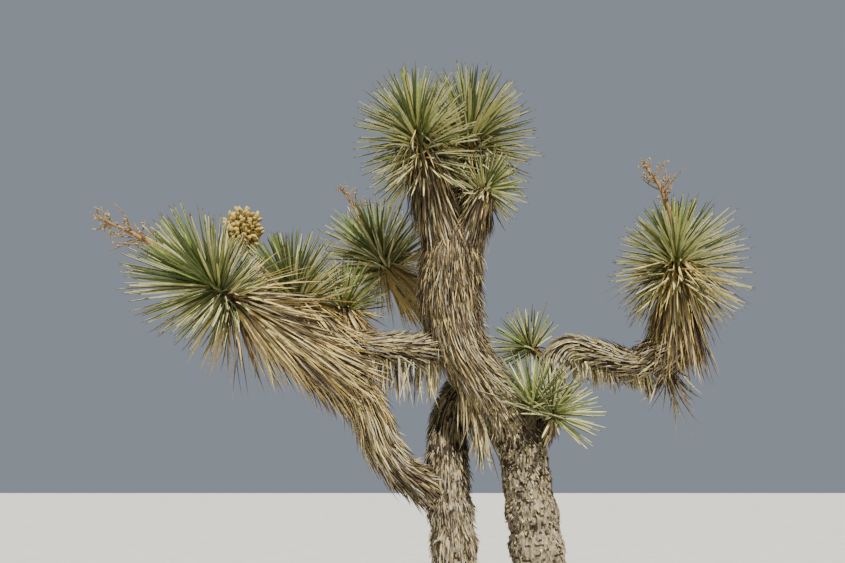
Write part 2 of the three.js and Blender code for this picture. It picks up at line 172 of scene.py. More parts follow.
# The dead leaves on each limb: how many to a square metre, the shortest and longest, how far their tips
# stand off, and their colours at the coat's foot and at its top.
COATS = {
    "trunk": (8600, 0.012, 0.03, 0.015, STUBS, STUBS),
    "second_stem": (5600, 0.026, 0.08, 0.02, WORN, OLD),
    "leader": (6300, 0.06, 0.19, 0.028, SHADED, DARK),
    "leader_foot": (8000, 0.014, 0.045, 0.016, STUBS, PALE),
    "bough_back": (5200, 0.03, 0.09, 0.018, OLD, WORN),
    "bough_front_low": (4200, 0.05, 0.13, 0.026, DARK, OLD),
    "bough_front_high": (3900, 0.08, 0.19, 0.026, WORN, WARM),
    "bough_level": (3900, 0.04, 0.13, 0.026, GREY, WORN),
    "bough_right_rise": (5600, 0.025, 0.06, 0.016, GREY, GREY),
    "bough_right_arm": (4400, 0.035, 0.1, 0.018, GREY, WORN),
    "bough_top_left": (4200, 0.12, 0.26, 0.034, OLD, DARK),
    "bough_top_right": (4200, 0.12, 0.26, 0.034, OLD, DARK),
    "bough_top_low": (4200, 0.12, 0.26, 0.034, OLD, DARK),
    "bough_far_left": (4000, 0.08, 0.16, 0.02, WORN, WARM),
    "head_right": (5200, 0.05, 0.13, 0.024, OLD, RUSTY),
}

# Two more coats, between shares of a line: on the right head's stem and at the leader's foot.
RIGHT_STEM_COAT = (0.0, 0.6)
LEADER_FOOT_COAT = (0.39, 0.54)

# Where a coat's longest leaf is shorter than these, its leaves are stubs, count as bark, have a ring fewer,
# or are narrow.
STUB_LENGTH = 0.05
FEW_RINGS_LENGTH = 0.15
NARROW_LENGTH = 0.2

# How a coat grows: its leaves start ahead of their place by a share of the shortest, stray round the limb,
# and are longer and stand off further by a power of a random share. It thins out between two heights at the
# foot. Widths are shares of the full one.
COAT = {
    "ahead": 0.7,
    "turn": 0.25,
    "length_power": 1.4,
    "least_lift": 0.1,
    "more_lift": 1.5,
    "lift_power": 2.2,
    "foot": (0.04, 0.25),
    "widths": (0.4, 0.8),
    "stub_width": 1.35,
    "narrow_width": 0.78,
    "leader_width": 0.66,
}

# Shares by height: of a dead leaf's length near the ground and on two limbs, and of the trunk's stubs left.
GROUND_LENGTHS = ([0.1, 1.0], [0.6, 1.0])
LIMB_LENGTHS = {
    "trunk": ([0.8, 1.1], [1.5, 0.85]),
    "leader": ([1.6, 1.78, 1.95], [0.3, 0.45, 1.0]),
}
TRUNK_STUBS_LEFT = ([0.9, 1.1, 1.42, 1.55], [1.0, 0.5, 0.5, 1.0])

# The leader's dead leaves turn from the foot's colours to the top's darker ones, which paint the shade under
# the crowns, above this height, over this rise.
LEADER_TURNS = 1.95
LEADER_TURN_RISE = 0.4

# The bark's ridges at three scales: how wide and how high they are, and their share of the relief.
BARE_RIDGES = ((0.07, 0.035, 0.5), (0.03, 0.016, 0.45), (0.012, 0.01, 0.3))
COATED_RIDGES = ((0.045, 0.09, 0.5), (0.02, 0.045, 0.35), (0.009, 0.02, 0.22))

# Creases in the bark: how far apart round the limb and along it, and the share of the bark that they take up.
CREASES = {
    "trunk": (0.042, 0.015, 0.3),
    "second_stem": (0.018, 0.06, 0.42),
    "leader": (0.03, 0.09, 0.75),
}
# Creases carry painted shade, and a coated limb that is not listed above is painted shade all over under its
# coat.
ALL_PAINTED_SHADE = (0.05, 0.05, 1.0)
CREASE_DEPTH = 0.7

# The bark's radius as a share of the limb's with its coat, its relief under a coat, and its grid's step.
BARE_SHARE = 0.95
COATED_SHARE = 0.84
LEADER_SHARES = ([1.6, 1.85], [BARE_SHARE, COATED_SHARE])
COATED_RELIEF = 0.7
BARE_STEP = 0.009
COATED_STEP = 0.012

# The second stem's bark has a painted shadow above this height, with an edge as ragged as this.
SECOND_STEM_SHADOW = 1.42
SECOND_STEM_RAGGED = 0.12

# A rooted stem's grid starts this far below the ground, and is then levelled to it.
FOOT_DEPTH = 0.004

# The old stems' raised bands and winding lobes, and the heights between which they fade out.
BANDS = {
    "pitch": 0.135,
    "shift": 0.06,
    "depth": 0.006,
    "lobes": 3,
    "lobe_depth": 0.006,
    "lobe_turn": 0.9,
    "top": 1.3,
    "end": 1.55,
}

# A head's stem runs on from its line's last knot. skirt and neck are the radii of its core at the foot and
# under the crown, and collar is the share of the stem over which it keeps the first. live and dead count
# the leaves, and reach is their length as a share of the full one. open is the widest angle from the stem
# at which a live leaf stands. The crown grows from low, below the stem's tip, to rise, above it, and is
# turned by lean. A leaf that points along short is shorter by that share, droop shortens those that point
# down, and thin of them are left out. young is the share of the crown whose leaves are young, and shade
# adds deep green ones as painted shade. hang is the pull on the dead leaves, skirt_span the share of the
# stem that they grow on, and skirt_reach and skirt_mix their length and colours at its top and foot.
PLAIN_HEAD = dict(
    lean=(0, 0, 0), short=(0, 0, 0), thin=0, droop=0, shade=0, young=0.2, collar=0.1,
    skirt_span=0.91, skirt_reach=(1.0, 0.8), skirt_mix=(NEWLY, WARM),
)
PLAIN_SPROUT = dict(
    PLAIN_HEAD, line=None, low=0.03, rise=0.02, young=0.9, skirt_reach=(0.35, 0.35), skirt_mix=(DARK, DARK),
)
HEADS = {
    "head_front": dict(
        PLAIN_HEAD, line="front",
        stem=[(-1.01, -0.29, 1.945), (-1.156, -0.44, 2.035), (-1.296, -0.58, 2.128)],
        skirt=0.098, neck=0.042, live=450, dead=680, reach=1.0, open=112, low=0.1, rise=0.05, hang=0.12,
        lean=(-0.25, 0, 0.3), short=(0.5, 0, 0.2), thin=0.45, droop=0.38, shade=0.55,
    ),
    "head_mid_left": dict(
        PLAIN_HEAD, line="level",
        stem=[(-1.02, 0.05, 2.13), (-1.09, 0.038, 2.205), (-1.138, 0.03, 2.282)],
        skirt=0.078, neck=0.038, live=340, dead=340, reach=0.88, open=90, low=0.1, rise=0.05, hang=0.2,
        lean=(0, 0, 0.5), shade=0.7,
    ),
    "head_far_left": dict(
        PLAIN_HEAD, line="far_left",
        stem=[(-0.898, 0.18, 2.2), (-0.921, 0.2, 2.251)],
        skirt=0.05, neck=0.032, live=160, dead=130, reach=0.72, open=92, low=0.06, rise=0.03, hang=0.2,
        lean=(0, 0, 0.3), shade=0.35, young=0.9,
    ),
    "head_back": dict(
        PLAIN_HEAD, line="second",
        stem=[(-0.625, 0.45, 2.425), (-0.7, 0.45, 2.505), (-0.766, 0.45, 2.6)],
        skirt=0.08, neck=0.036, live=330, dead=340, reach=1.0, open=90, low=0.12, rise=0.05, hang=0.3,
        lean=(0, 0, 0.4), shade=0.35, skirt_mix=(SUNLIT, SUNLIT),
    ),
    "head_top_left": dict(
        PLAIN_HEAD, line="top_left",
        stem=[(-0.516, -0.084, 2.905), (-0.555, -0.102, 3.075)],
        skirt=0.088, neck=0.042, live=470, dead=330, reach=0.9, open=134, low=0.22, rise=0.05, hang=0.9,
        thin=0.35, shade=0.42, skirt_mix=(SHADY, DARK),
    ),
    "head_top_right": dict(
        PLAIN_HEAD, line="top_right",
        stem=[(-0.278, 0.12, 3.03), (-0.272, 0.13, 3.2)],
        skirt=0.086, neck=0.042, live=490, dead=340, reach=1.08, open=130, low=0.2, rise=0.03, hang=0.9,
        thin=0.35, shade=0.42, skirt_mix=(SHADY, DARK),
    ),
    "head_top_low": dict(
        PLAIN_HEAD, line="top_low",
        stem=[(-0.236, -0.045, 2.73), (-0.206, -0.055, 2.77)],
        skirt=0.062, neck=0.036, live=150, dead=150, reach=0.58, open=116, low=0.05, rise=0.02, hang=0.9,
        lean=(1, -0.1, 0), shade=0.35, skirt_mix=(SHADY, DARK),
    ),
    "head_right": dict(
        PLAIN_HEAD, line="right",
        stem=[(0.565, -0.068, 1.97), (0.612, -0.082, 2.09), (0.632, -0.096, 2.265), (0.642, -0.1, 2.44)],
        skirt=0.092, neck=0.04, live=400, dead=560, reach=0.9, open=126, low=0.16, rise=0.03, hang=0.62,
        short=(-0.1, 0, 0.12), thin=0.3, shade=0.25, collar=0.45,
        skirt_span=0.46, skirt_reach=(1.15, 1.15), skirt_mix=(NEWLY, RUSTY),
    ),
    "sprout_left": dict(
        PLAIN_SPROUT,
        stem=[(-0.085, -0.06, 1.64), (-0.062, -0.095, 1.69), (-0.05, -0.112, 1.744)],
        skirt=0.034, neck=0.028, live=80, dead=40, reach=0.72, open=78, hang=0.5,
        lean=(0, 0, 0.2), shade=0.6,
    ),
    "sprout_right": dict(
        PLAIN_SPROUT,
        stem=[(0.0, -0.03, 1.6), (0.026, -0.086, 1.645), (0.038, -0.126, 1.704)],
        skirt=0.034, neck=0.028, live=84, dead=50, reach=0.62, open=92, hang=0.9,
        lean=(0.4, 0, 0.1), shade=0.6,
    ),
    "sprout_back": dict(
        PLAIN_SPROUT,
        stem=[(0.09, 0.095, 1.935), (0.038, 0.125, 1.99), (-0.014, 0.142, 2.034)],
        skirt=0.032, neck=0.026, live=84, dead=30, reach=0.6, open=84, hang=0.5,
        lean=(0, 0, 0.3), shade=0.3,
    ),
}

# A crown: how far a leaf stays off other limbs, how far its tip lies below its root where it droops and how
# often it is painted deep green there as shade under the crown, the share of the crown where the leaves grow
# old, and their widths as shares of the full one.
CROWN = {"gap": 0.008, "drop": 0.03, "dark": 0.45, "old": 0.7, "least_width": 0.6, "widths": (0.85, 1.1)}

# A skirt: the share of the stem where it begins, how fast its leaves age and ripen down the stem, how far
# they stand off it in degrees, the share of their pull that fresh ones lack, and their lengths and widths
# as shares.
SKIRT = {
    "top": 0.93,
    "ages": 2.2,
    "ripens": 1.6,
    "angle": 6,
    "fresh_angle": 52,
    "stray_angle": 16,
    "stiff": 0.7,
    "lengths": (0.72, 1.0),
    "widths": (0.45, 0.85),
}

# A head's stem: where along it the neck is reached, its core's radius as a share, and that of its blunt tip.
NECK_AT = 0.9
CORE_SHARE = 0.8
CORE_TIP = (0.95, 0.85, 0.6, 0.3)
CORE_RINGS = 28
CORE_SIDES = 20

# Old flower stalks: the head, the tip and how many twigs there are.
STALKS = {
    "head_front": ((-1.748, -0.61, 2.385), 26),
    "head_back": ((-0.985, 0.41, 2.985), 14),
    "head_right": ((0.538, -0.11, 2.868), 26),
}

# The bunch of pods: the head that it stands on, its middle, its half sizes, and its pods' number and sizes.
FRUIT = {
    "head": "head_mid_left",
    "centre": (-1.379, -0.02, 2.562),
    "size": (0.096, 0.096, 0.116),
    "pods": 260,
    "pod_lengths": (0.03, 0.042),
    "pod_widths": (0.02, 0.026),
}

# A stalk from its foot to its tip: its bow, its radii, where its twigs stand, and their lengths and radii.
# Each twig carries a few husks.
STALK = {
    "bow": (0.0, -0.07, 0.015),
    "radii": (0.014, 0.0045),
    "twigs_at": (0.42, 0.99),
    "twig_lengths": (0.13, 0.05),
    "twig_radii": (0.0035, 0.0015),
    "husks": 3,
    "husk_lengths": (0.01, 0.02),
    "husk_width": 0.42,
}

# Dead leaves that hang in a row under a limb: the seam that they hang from, how many, their length's share,
# how far they bow, and their colours.
CURTAINS = {
    "curtain_level": dict(
        seam=[(-0.44, 0.01, 1.935), (-0.62, 0.022, 1.94), (-0.8, 0.036, 1.95)],
        count=120, reach=0.62, bow=0.06, mix=FADED,
    ),
    "curtain_leader": dict(
        seam=[(-0.235, -0.018, 1.63), (-0.28, -0.022, 1.7), (-0.36, -0.016, 1.81)],
        count=110, reach=0.68, bow=0.06, mix=FADED,
    ),
    "curtain_arm": dict(
        seam=[(0.16, 0.05, 1.95), (0.3, 0.015, 1.915), (0.5, -0.05, 1.86)],
        count=190, reach=0.32, bow=0.06, mix=FADED,
    ),
    "tassel": dict(
        seam=[(0.535, -0.07, 1.915), (0.56, -0.077, 1.92), (0.58, -0.085, 1.93)],
        count=60, reach=0.74, bow=0.22, mix=DARK,
    ),
}

# How a hanging row grows: how far its leaves are scattered off the seam, their heading and how it strays,
# and their lengths and widths as shares of the full ones.
CURTAIN = {
    "scatter": (0.0, 0.025, 0.01),
    "heading": (0.08, 0, -1),
    "stray": (0.2, 0.16, 0),
    "lengths": (0.35, 1.0),
    "widths": (0.5, 0.9),
}

# The photograph's size, focal length and horizon in pixels, and where the eye stood.
IMAGE_WIDTH = 845
IMAGE_HEIGHT = 563
FOCAL_PIXELS = 620
HORIZON_ROW = 462
EYE = (-0.52, -2.8, 1.5)
SENSOR_WIDTH = 36

# The floor's side, and how far it lies below the tree's foot.
FLOOR_SIZE = 60
FLOOR_GAP = 0.001

# The suns: their strength, their softness in degrees and how they are turned.
SUN_COLOUR = (1.0, 0.95, 0.85)
SUNS = {"key": (9.2, 1.0, (40, 0, 18)), "fill": (0.3, 40, (60, 0, -60))}
SKY_COLOUR = (0.72, 0.8, 0.92, 1)
SKY_STRENGTH = 0.34


def length_setting(name, description, default):
    """A size in metres that the user may change."""
    return bpy.props.FloatProperty(name=name, description=description, default=default, unit="LENGTH")


class JoshuaTreeSizes(bpy.types.PropertyGroup):
    """Sizes of the leaves and limbs."""

    leaf_length: length_setting("Leaf length", "A full-grown leaf of the largest heads", 0.35)
    leaf_width: length_setting("Leaf width", "A live leaf at its widest", 0.0125)
    leaf_thickness: length_setting("Leaf thickness", "From a live leaf's face to its keel", 0.0055)
    dead_leaf_width: length_setting("Dead leaf width", "A dead leaf at its base", 0.0135)
    trunk_radius: length_setting("Trunk radius", "The main trunk at breast height, with its coat", 0.1)
    root_flare: length_setting("Root flare", "What the flare adds to a stem's radius at the ground", 0.125)
    flare_height: length_setting("Flare height", "Where the flare has fallen to a third", 0.17)
    bark_relief: length_setting("Bark relief", "Depth of the bark's ridges", 0.009)
    thatch_density: bpy.props.FloatProperty(
        name="Thatch density", description="Scales how closely dead leaves cover the limbs", default=1.0
    )
    seed: bpy.props.IntProperty(name="Seed", description="Starts the random numbers", default=7)


def colour_setting(name, description, default):
    """A colour that the user may change."""
    return bpy.props.FloatVectorProperty(
        name=name, description=description, default=default, size=3, min=0, max=1, subtype="COLOR"
    )


class JoshuaTreeColours(bpy.types.PropertyGroup):
    """Colours of the leaves, bark, stalks and pods."""

    # Deep green is partly the leaves' own dark green and partly painted shade in the crowns' gaps and lower
    # parts.
    leaf_deep: colour_setting("Deep green", "The darkest live leaves", (0.075, 0.1, 0.028))
    leaf_olive: colour_setting("Olive green", "Most live leaves", (0.41, 0.42, 0.15))
    leaf_grey: colour_setting("Grey green", "Older live leaves with bloom", (0.47, 0.48, 0.25))
    leaf_fresh: colour_setting("Fresh green", "Young leaves and sprouts", (0.2, 0.275, 0.065))
    leaf_yellow: colour_setting("Yellowing", "Live leaves that are about to die", (0.62, 0.55, 0.26))
    # The margin is the leaf's own pale horny edge and also a painted highlight along the upper edges of the
    # blade.
    leaf_margin: colour_setting("Margin", "The horny edge of a leaf", (0.68, 0.62, 0.36))
    leaf_tip: colour_setting("Spine", "The hard brown tip of a leaf", (0.12, 0.075, 0.045))
    dead_gold: colour_setting("Gold", "Newly dead leaves", (0.5, 0.36, 0.12))
    dead_straw: colour_setting("Straw", "Dry leaves", (0.46, 0.4, 0.19))
    dead_tan: colour_setting("Tan", "Weathering leaves", (0.26, 0.205, 0.105))
    dead_brown: colour_setting("Brown", "Leaves in the shade of others", (0.07, 0.05, 0.026))
    dead_grey: colour_setting("Grey", "The oldest leaves", (0.33, 0.305, 0.235))
    bark_light: colour_setting("Light bark", "The bark's ridges", (0.33, 0.29, 0.19))
    # Dark bark is the bark's own dark tone in its weathered pattern, and also the painted shade in its
    # creases and under the coats.
    bark_dark: colour_setting("Dark bark", "The bark's furrows", (0.055, 0.04, 0.028))
    stalk: colour_setting("Stalk", "An old flower stalk", (0.26, 0.155, 0.065))
    pod_light: colour_setting("Light pod", "The pods' sunny side", (0.43, 0.34, 0.095))
    # The dark pod colour is partly painted shade between the pods, besides their seams.
    pod_dark: colour_setting("Dark pod", "The pods' seams", (0.17, 0.11, 0.035))


def sizes():
    """The scene's own sizes."""
    return bpy.context.scene.joshua_tree_sizes


def colours():
    """The scene's own colours."""
    return bpy.context.scene.joshua_tree_colours


# Materials


def tint(colour, share):
    """The colour, lightened by a share above 1 or darkened by one below it."""
    return tuple(min(1.0, c * share) for c in colour) + (1.0,)


def weathered_group():
    """Mixes a light and a dark colour by noise, scaled along each axis, and gives it as a height too."""
    if "weathered" in bpy.data.node_groups:
        return bpy.data.node_groups["weathered"]
    group = bpy.data.node_groups.new("weathered", "ShaderNodeTree")
    face = group.interface
    for name, kind, direction in (
        ("Light", "NodeSocketColor", "INPUT"),
        ("Dark", "NodeSocketColor", "INPUT"),
        ("Scale", "NodeSocketFloat", "INPUT"),
        ("Stretch", "NodeSocketVector", "INPUT"),
        ("Color", "NodeSocketColor", "OUTPUT"),
        ("Height", "NodeSocketFloat", "OUTPUT"),
    ):
        face.new_socket(name=name, in_out=direction, socket_type=kind)
    nodes = group.nodes
    link = group.links.new
    source = nodes.new("NodeGroupInput")
    result = nodes.new("NodeGroupOutput")
    place = nodes.new("ShaderNodeTexCoord")
    stretch = nodes.new("ShaderNodeMapping")
    noise = nodes.new("ShaderNodeTexNoise")
    noise.inputs["Detail"].default_value = 5
    noise.inputs["Roughness"].default_value = 0.62
    spread = nodes.new("ShaderNodeMapRange")
    spread.inputs["From Min"].default_value = 0.34
    spread.inputs["From Max"].default_value = 0.66
    mix = nodes.new("ShaderNodeMix")
    mix.data_type = "RGBA"
    link(place.outputs["Object"], stretch.inputs["Vector"])
    link(source.outputs["Stretch"], stretch.inputs["Scale"])
    link(stretch.outputs["Vector"], noise.inputs["Vector"])
    link(source.outputs["Scale"], noise.inputs["Scale"])
    link(noise.outputs["Fac"], spread.inputs["Value"])
    link(spread.outputs["Result"], mix.inputs["Factor"])
    link(source.outputs["Dark"], mix.inputs[6])
    link(source.outputs["Light"], mix.inputs[7])
    link(mix.outputs[2], result.inputs["Color"])
    link(noise.outputs["Fac"], result.inputs["Height"])
    return group


def weathered_material(name, light, dark, scale, roughness, bump, stretch=(1, 1, 1), specular=0.3):
    """A material whose colour and relief come from the weathered group."""
    if name in bpy.data.materials:
        return bpy.data.materials[name]
    material = bpy.data.materials.new(name)
    material.use_nodes = True
    nodes = material.node_tree.nodes
    link = material.node_tree.links.new
    shader = nodes["Principled BSDF"]
    shader.inputs["Roughness"].default_value = roughness
    shader.inputs["Specular IOR Level"].default_value = specular
    group = nodes.new("ShaderNodeGroup")
    group.node_tree = weathered_group()
    group.inputs["Light"].default_value = light
    group.inputs["Dark"].default_value = dark
    group.inputs["Scale"].default_value = scale
    group.inputs["Stretch"].default_value = stretch
    relief = nodes.new("ShaderNodeBump")
    relief.inputs["Strength"].default_value = bump
    relief.inputs["Distance"].default_value = 0.002
    link(group.outputs["Color"], shader.inputs["Base Color"])
    link(group.outputs["Height"], relief.inputs["Height"])
    link(relief.outputs["Normal"], shader.inputs["Normal"])
    return material


def leaf_material(name, colour, roughness=0.5, spread=0.22):
    """A leaf's colour, which wanders by spread to either side."""
    return weathered_material(
        name, tint(colour, 1 + spread), tint(colour, 1 - spread),
        scale=90, roughness=roughness, bump=0.15, specular=0.4,
    )


def live_materials():
    """Slots: five greens dealt out by leaf, the deep one partly painted shade, then the margin, partly a
    painted highlight, and the spine that every leaf has.
    """
    c = colours()
    return [
        leaf_material("leaf_deep", c.leaf_deep),
        leaf_material("leaf_olive", c.leaf_olive),
        leaf_material("leaf_grey", c.leaf_grey, 0.55),
        leaf_material("leaf_fresh", c.leaf_fresh, 0.42),
        leaf_material("leaf_yellow", c.leaf_yellow, 0.6),
        leaf_material("leaf_margin", c.leaf_margin, 0.6),
        leaf_material("leaf_spine", c.leaf_tip, 0.5),
    ]


def dead_materials():
    """Slots: gold, straw, tan, brown and grey, dealt out by leaf."""
    c = colours()
    return [
        leaf_material("dead_gold", c.dead_gold, 0.75, 0.3),
        leaf_material("dead_straw", c.dead_straw, 0.8, 0.3),
        leaf_material("dead_tan", c.dead_tan, 0.85, 0.3),
        leaf_material("dead_brown", c.dead_brown, 0.85, 0.3),
        leaf_material("dead_grey", c.dead_grey, 0.9, 0.3),
    ]


def corky_bark():
    """Pale cork, drawn out upwards."""
    return weathered_material(
        "corky_bark", tint(colours().bark_light, 1.0), tint(colours().bark_dark, 1.2),
        scale=70, stretch=(1, 1, 0.6), roughness=0.95, bump=0.8, specular=0.15,
    )


def under_thatch():
    """Painted shade: the dark of the creases, and of the bark that lies under a coat."""
    return weathered_material(
        "under_thatch", tint(colours().bark_dark, 1.0), tint(colours().bark_dark, 0.5),
        scale=70, stretch=(1, 1, 0.6), roughness=0.95, bump=0.8, specular=0.15,
    )


def stem_core():
    """The brown stem inside a head, darkened as painted shade in the crown's middle."""
    return weathered_material(
        "stem_core", tint(colours().dead_tan, 0.5), tint(colours().dead_brown, 0.6),
        scale=60, stretch=(1, 1, 0.3), roughness=0.95, bump=0.6, specular=0.15,
    )


def stalk_wood():
    """Dry reddish wood with a long grain."""
    return weathered_material(
        "stalk", tint(colours().stalk, 1.2), tint(colours().stalk, 0.6),
        scale=70, stretch=(1, 1, 0.4), roughness=0.85, bump=0.5,
    )


def pod_shell():
    """Pale yellow pods with brown patches: the pale colour paints the pods' sunny side, and the brown is
    partly painted shade besides their seams.
    """
    return weathered_material(
        "pod", tint(colours().pod_light, 1.2), tint(colours().pod_dark, 1.2),
        scale=45, roughness=0.75, bump=0.5,
    )


def dry_husk():
    """The husks left on old twigs."""
    return weathered_material(
        "husk", tint(colours().dead_straw, 1.1), tint(colours().dead_brown, 1.2),
        scale=70, roughness=0.9, bump=0.5,
    )


def pale_floor():
    """The stage's floor, which is almost one colour."""
    return weathered_material(
        "floor", (0.6, 0.59, 0.57, 1), (0.55, 0.54, 0.52, 1), scale=3, roughness=0.9, bump=0.05
    )


# Lines and surfaces


def unit(vectors):
    """Vectors over their lengths."""
    return vectors / np.maximum(np.linalg.norm(vectors, axis=-1, keepdims=True), 1e-12)


def smooth_line(points, t):
    """Centripetal Catmull-Rom: cubic spans whose end slopes come from the square roots of the chords.

    Past either end the last chord is repeated.
    """
    p = np.vstack([2 * points[0] - points[1], points, 2 * points[-1] - points[-2]])
    spans = len(points) - 1
    k = np.minimum((t * spans).astype(int), spans - 1)
    w = (t * spans - k)[:, None]
    a, b, c, d = (p[k + i] for i in range(4))
    ab, bc, cd = (np.sqrt(np.linalg.norm(y - x, axis=1, keepdims=True)) for x, y in ((a, b), (b, c), (c, d)))
    start = ((b - a) / ab - (c - a) / (ab + bc) + (c - b) / bc) * bc
    end = ((c - b) / bc - (d - b) / (bc + cd) + (d - c) / cd) * bc
    square = -3 * b + 3 * c - 2 * start - end
    cube = 2 * b - 2 * c + start + end
    return b + start * w + square * w**2 + cube * w**3


def smooth_step(x):
    """Three times the square of x less twice its cube, held between 0 and 1."""
    x = np.clip(x, 0, 1)
    return x * x * (3 - 2 * x)


def make_path(points, radii=None, count=260):
    """A line with its radius, and at every station the tangent and two directions across it.

    The first of them is +Y made square to the tangent, the second is square to both.
    """
    points = np.asarray(points, float)
    t = np.linspace(0, 1, count)
    centre = smooth_line(points, t)
    along = unit(np.gradient(centre, axis=0))
    y_axis = np.array([0.0, 1.0, 0.0])
    across = unit(y_axis - along * (along @ y_axis)[:, None])
    steps = np.linalg.norm(np.diff(centre, axis=0), axis=1)
    return SimpleNamespace(
        centre=centre,
        along=along,
        across=across,
        beside=np.cross(across, along),
        radius=radii(t, centre) if radii else np.zeros(count),
        s=np.concatenate([[0], np.cumsum(steps)]),
        t=t,
        rooted=points[0, 2] < 0,
    )


def on_path(path, s, name):
    """A quantity of the path at distances s along it, held or drawn straight on past its ends."""
    inside = np.clip(s, 0, path.s[-1])
    values = getattr(path, name)
    if values.ndim == 1:
        return np.interp(inside, path.s, values)
    found = np.stack([np.interp(inside, path.s, values[:, i]) for i in range(3)], axis=-1)
    if name == "centre":
        return found + (s - inside)[..., None] * on_path(path, inside, "along")
    return unit(found)


def line_path(name):
    """A limb's line, with the root flare that falls off as e to minus the height over the flare's."""
    knots = np.array(LINES[name]["knots"])
    base = knots[:, 3] * sizes().trunk_radius

    def radii(t, centre):
        radius = np.interp(t * (len(knots) - 1), np.arange(len(knots)), base)
        if knots[0, 2] < 0:
            radius = radius + sizes().root_flare * np.exp(-np.maximum(centre[:, 2], 0) / sizes().flare_height)
        return radius

    return make_path(knots[:, :3], radii)


def stem_relief(height, angle):
    """Bands as a cosine of the height, and lobes as one of three times the angle turned by the height."""
    fade = 1 - smooth_step((height - BANDS["top"]) / (BANDS["end"] - BANDS["top"]))
    band = BANDS["depth"] * np.cos(2 * math.pi * (height + BANDS["shift"]) / BANDS["pitch"])
    lobe = BANDS["lobe_depth"] * np.cos(BANDS["lobes"] * angle + 2 * math.pi * height / BANDS["lobe_turn"])
    return fade * (band + lobe)


def head_path(head):
    """A head's stem, whose core narrows from the skirt to the neck by a smooth step."""
    foot = [LINES[head["line"]]["knots"][-1][:3]] if head["line"] else []
    collar = head["collar"]

    def radii(t, centre):
        return head["skirt"] + (head["neck"] - head["skirt"]) * smooth_step((t - collar) / (NECK_AT - collar))

    return make_path(foot + head["stem"], radii, 120)


def spoke_at(path, s, turn):
    """The direction away from the path's middle at distances s along it, at an angle from its first one."""
    across, beside = (on_path(path, s, name) for name in ("across", "beside"))
    return np.cos(turn)[..., None] * across + np.sin(turn)[..., None] * beside


def square_to(axis):
    """A direction square to each axis, and to Z, or to Y where the axis is nearly upright."""
    other = np.where(np.abs(axis[:, 2:]) < 0.9, [[0.0, 0.0, 1.0]], [[0.0, 1.0, 0.0]])
    return unit(np.cross(axis, other))


def lattice_noise(x, y, around, seed):
    """Random heights on a lattice, joined by a smooth step across each cell. x wraps after so many cells."""
    heights = np.random.default_rng(seed).random((int(y.max()) + 3, around)) * 2 - 1
    column = np.floor(x).astype(int)
    row = np.floor(y).astype(int)
    u = smooth_step(x - column)
    v = smooth_step(y - row)
    left = column % around
    right = (column + 1) % around
    low = heights[row, left] * (1 - u) + heights[row, right] * u
    high = heights[row + 1, left] * (1 - u) + heights[row + 1, right] * u
    return low * (1 - v) + high * v


def mesh_object(name, vertices, faces, slots, materials, smooth=True):
    """A mesh from a list of face arrays, one array for each number of corners, and the slot of each face."""
    mesh = bpy.data.meshes.new(name)
    corners = np.concatenate([block.ravel() for block in faces])
    counts = np.concatenate([np.full(len(block), block.shape[1]) for block in faces])
    mesh.vertices.add(len(vertices))
    mesh.vertices.foreach_set("co", vertices.astype(np.float32).ravel())
    mesh.loops.add(len(corners))
    mesh.loops.foreach_set("vertex_index", corners.astype(np.int32))
    mesh.polygons.add(len(counts))
    mesh.polygons.foreach_set("loop_start", (np.cumsum(counts) - counts).astype(np.int32))
    mesh.polygons.foreach_set("material_index", np.concatenate(slots).astype(np.int32))
    mesh.polygons.foreach_set("use_smooth", np.full(len(counts), smooth))
    for material in materials:
        mesh.materials.append(material)
    mesh.update(calc_edges=True)
    mesh.validate()
    piece = bpy.data.objects.new(name, mesh)
    bpy.context.scene.collection.objects.link(piece)
    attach(piece, BODY)
    return piece


def one_finish_piece(name, vertices, faces, material):
    """A piece of one material."""
    piece = mesh_object(name, vertices, faces, [np.zeros(len(block)) for block in faces], [material])


def ring_quads(rings, sides):
    """Quads between rings: corner i times sides plus j is joined with the next corner and the next ring."""
    i = np.arange(rings - 1)[:, None] * sides
    j = np.arange(sides)[None]
    k = (j + 1) % sides
    return np.stack([i + j, i + k, i + sides + k, i + sides + j], axis=-1).reshape(-1, 4)


def pole_caps(rings, sides):
    """Triangles from the first and the last ring to the two poles, which come after the rings."""
    j = np.arange(sides)
    k = (j + 1) % sides
    last = (rings - 1) * sides
    foot = np.stack([np.full(sides, rings * sides), k, j], axis=-1)
    top = np.stack([np.full(sides, rings * sides + 1), last + j, last + k], axis=-1)
    return np.vstack([foot, top])


def on_copies(blocks, copies, size):
    """The face blocks of one shape repeated on its copies, each of which has so many vertices."""
    offset = (np.arange(copies) * size)[:, None, None]
    return [(block[None] + offset).reshape(-1, block.shape[1]) for block in blocks]


def tube_arrays(centre, across, beside, radius):
    """A tube: corner j of ring i is centre i plus radius (i, j) times the cosine and sine of angle j.

    Its ends close to poles. Each quad is listed from its second corner, which sets its diagonal.
    """
    rings, sides = radius.shape
    angle = np.arange(sides) * (2 * math.pi / sides)
    spoke = np.cos(angle)[None, :, None] * across[:, None] + np.sin(angle)[None, :, None] * beside[:, None]
    grid = centre[:, None] + radius[..., None] * spoke
    vertices = np.vstack([grid.reshape(-1, 3), centre[:1], centre[-1:]])
    return vertices, [np.roll(ring_quads(rings, sides), -1, axis=1), pole_caps(rings, sides)]


def path_tube(path, s, radius):
    """A tube round a path, with a ring at each distance s along it."""
    return tube_arrays(*(on_path(path, s, name) for name in ("centre", "across", "beside")), radius)


# Leaves

# Across a blade, corner by corner: half-widths to the side and thicknesses up, and the margins' faces.
KEELED = np.array([(-1.0, 0.1), (-0.84, 0.28), (0.0, -0.3), (0.84, 0.28), (1.0, 0.1), (0.0, -0.95)])
KEELED_MARGINS = [0, 3]
DRY = np.array([(-1.0, 0.2), (1.0, 0.2), (0.0, -0.6)])
DRY_THICKNESS = 0.004

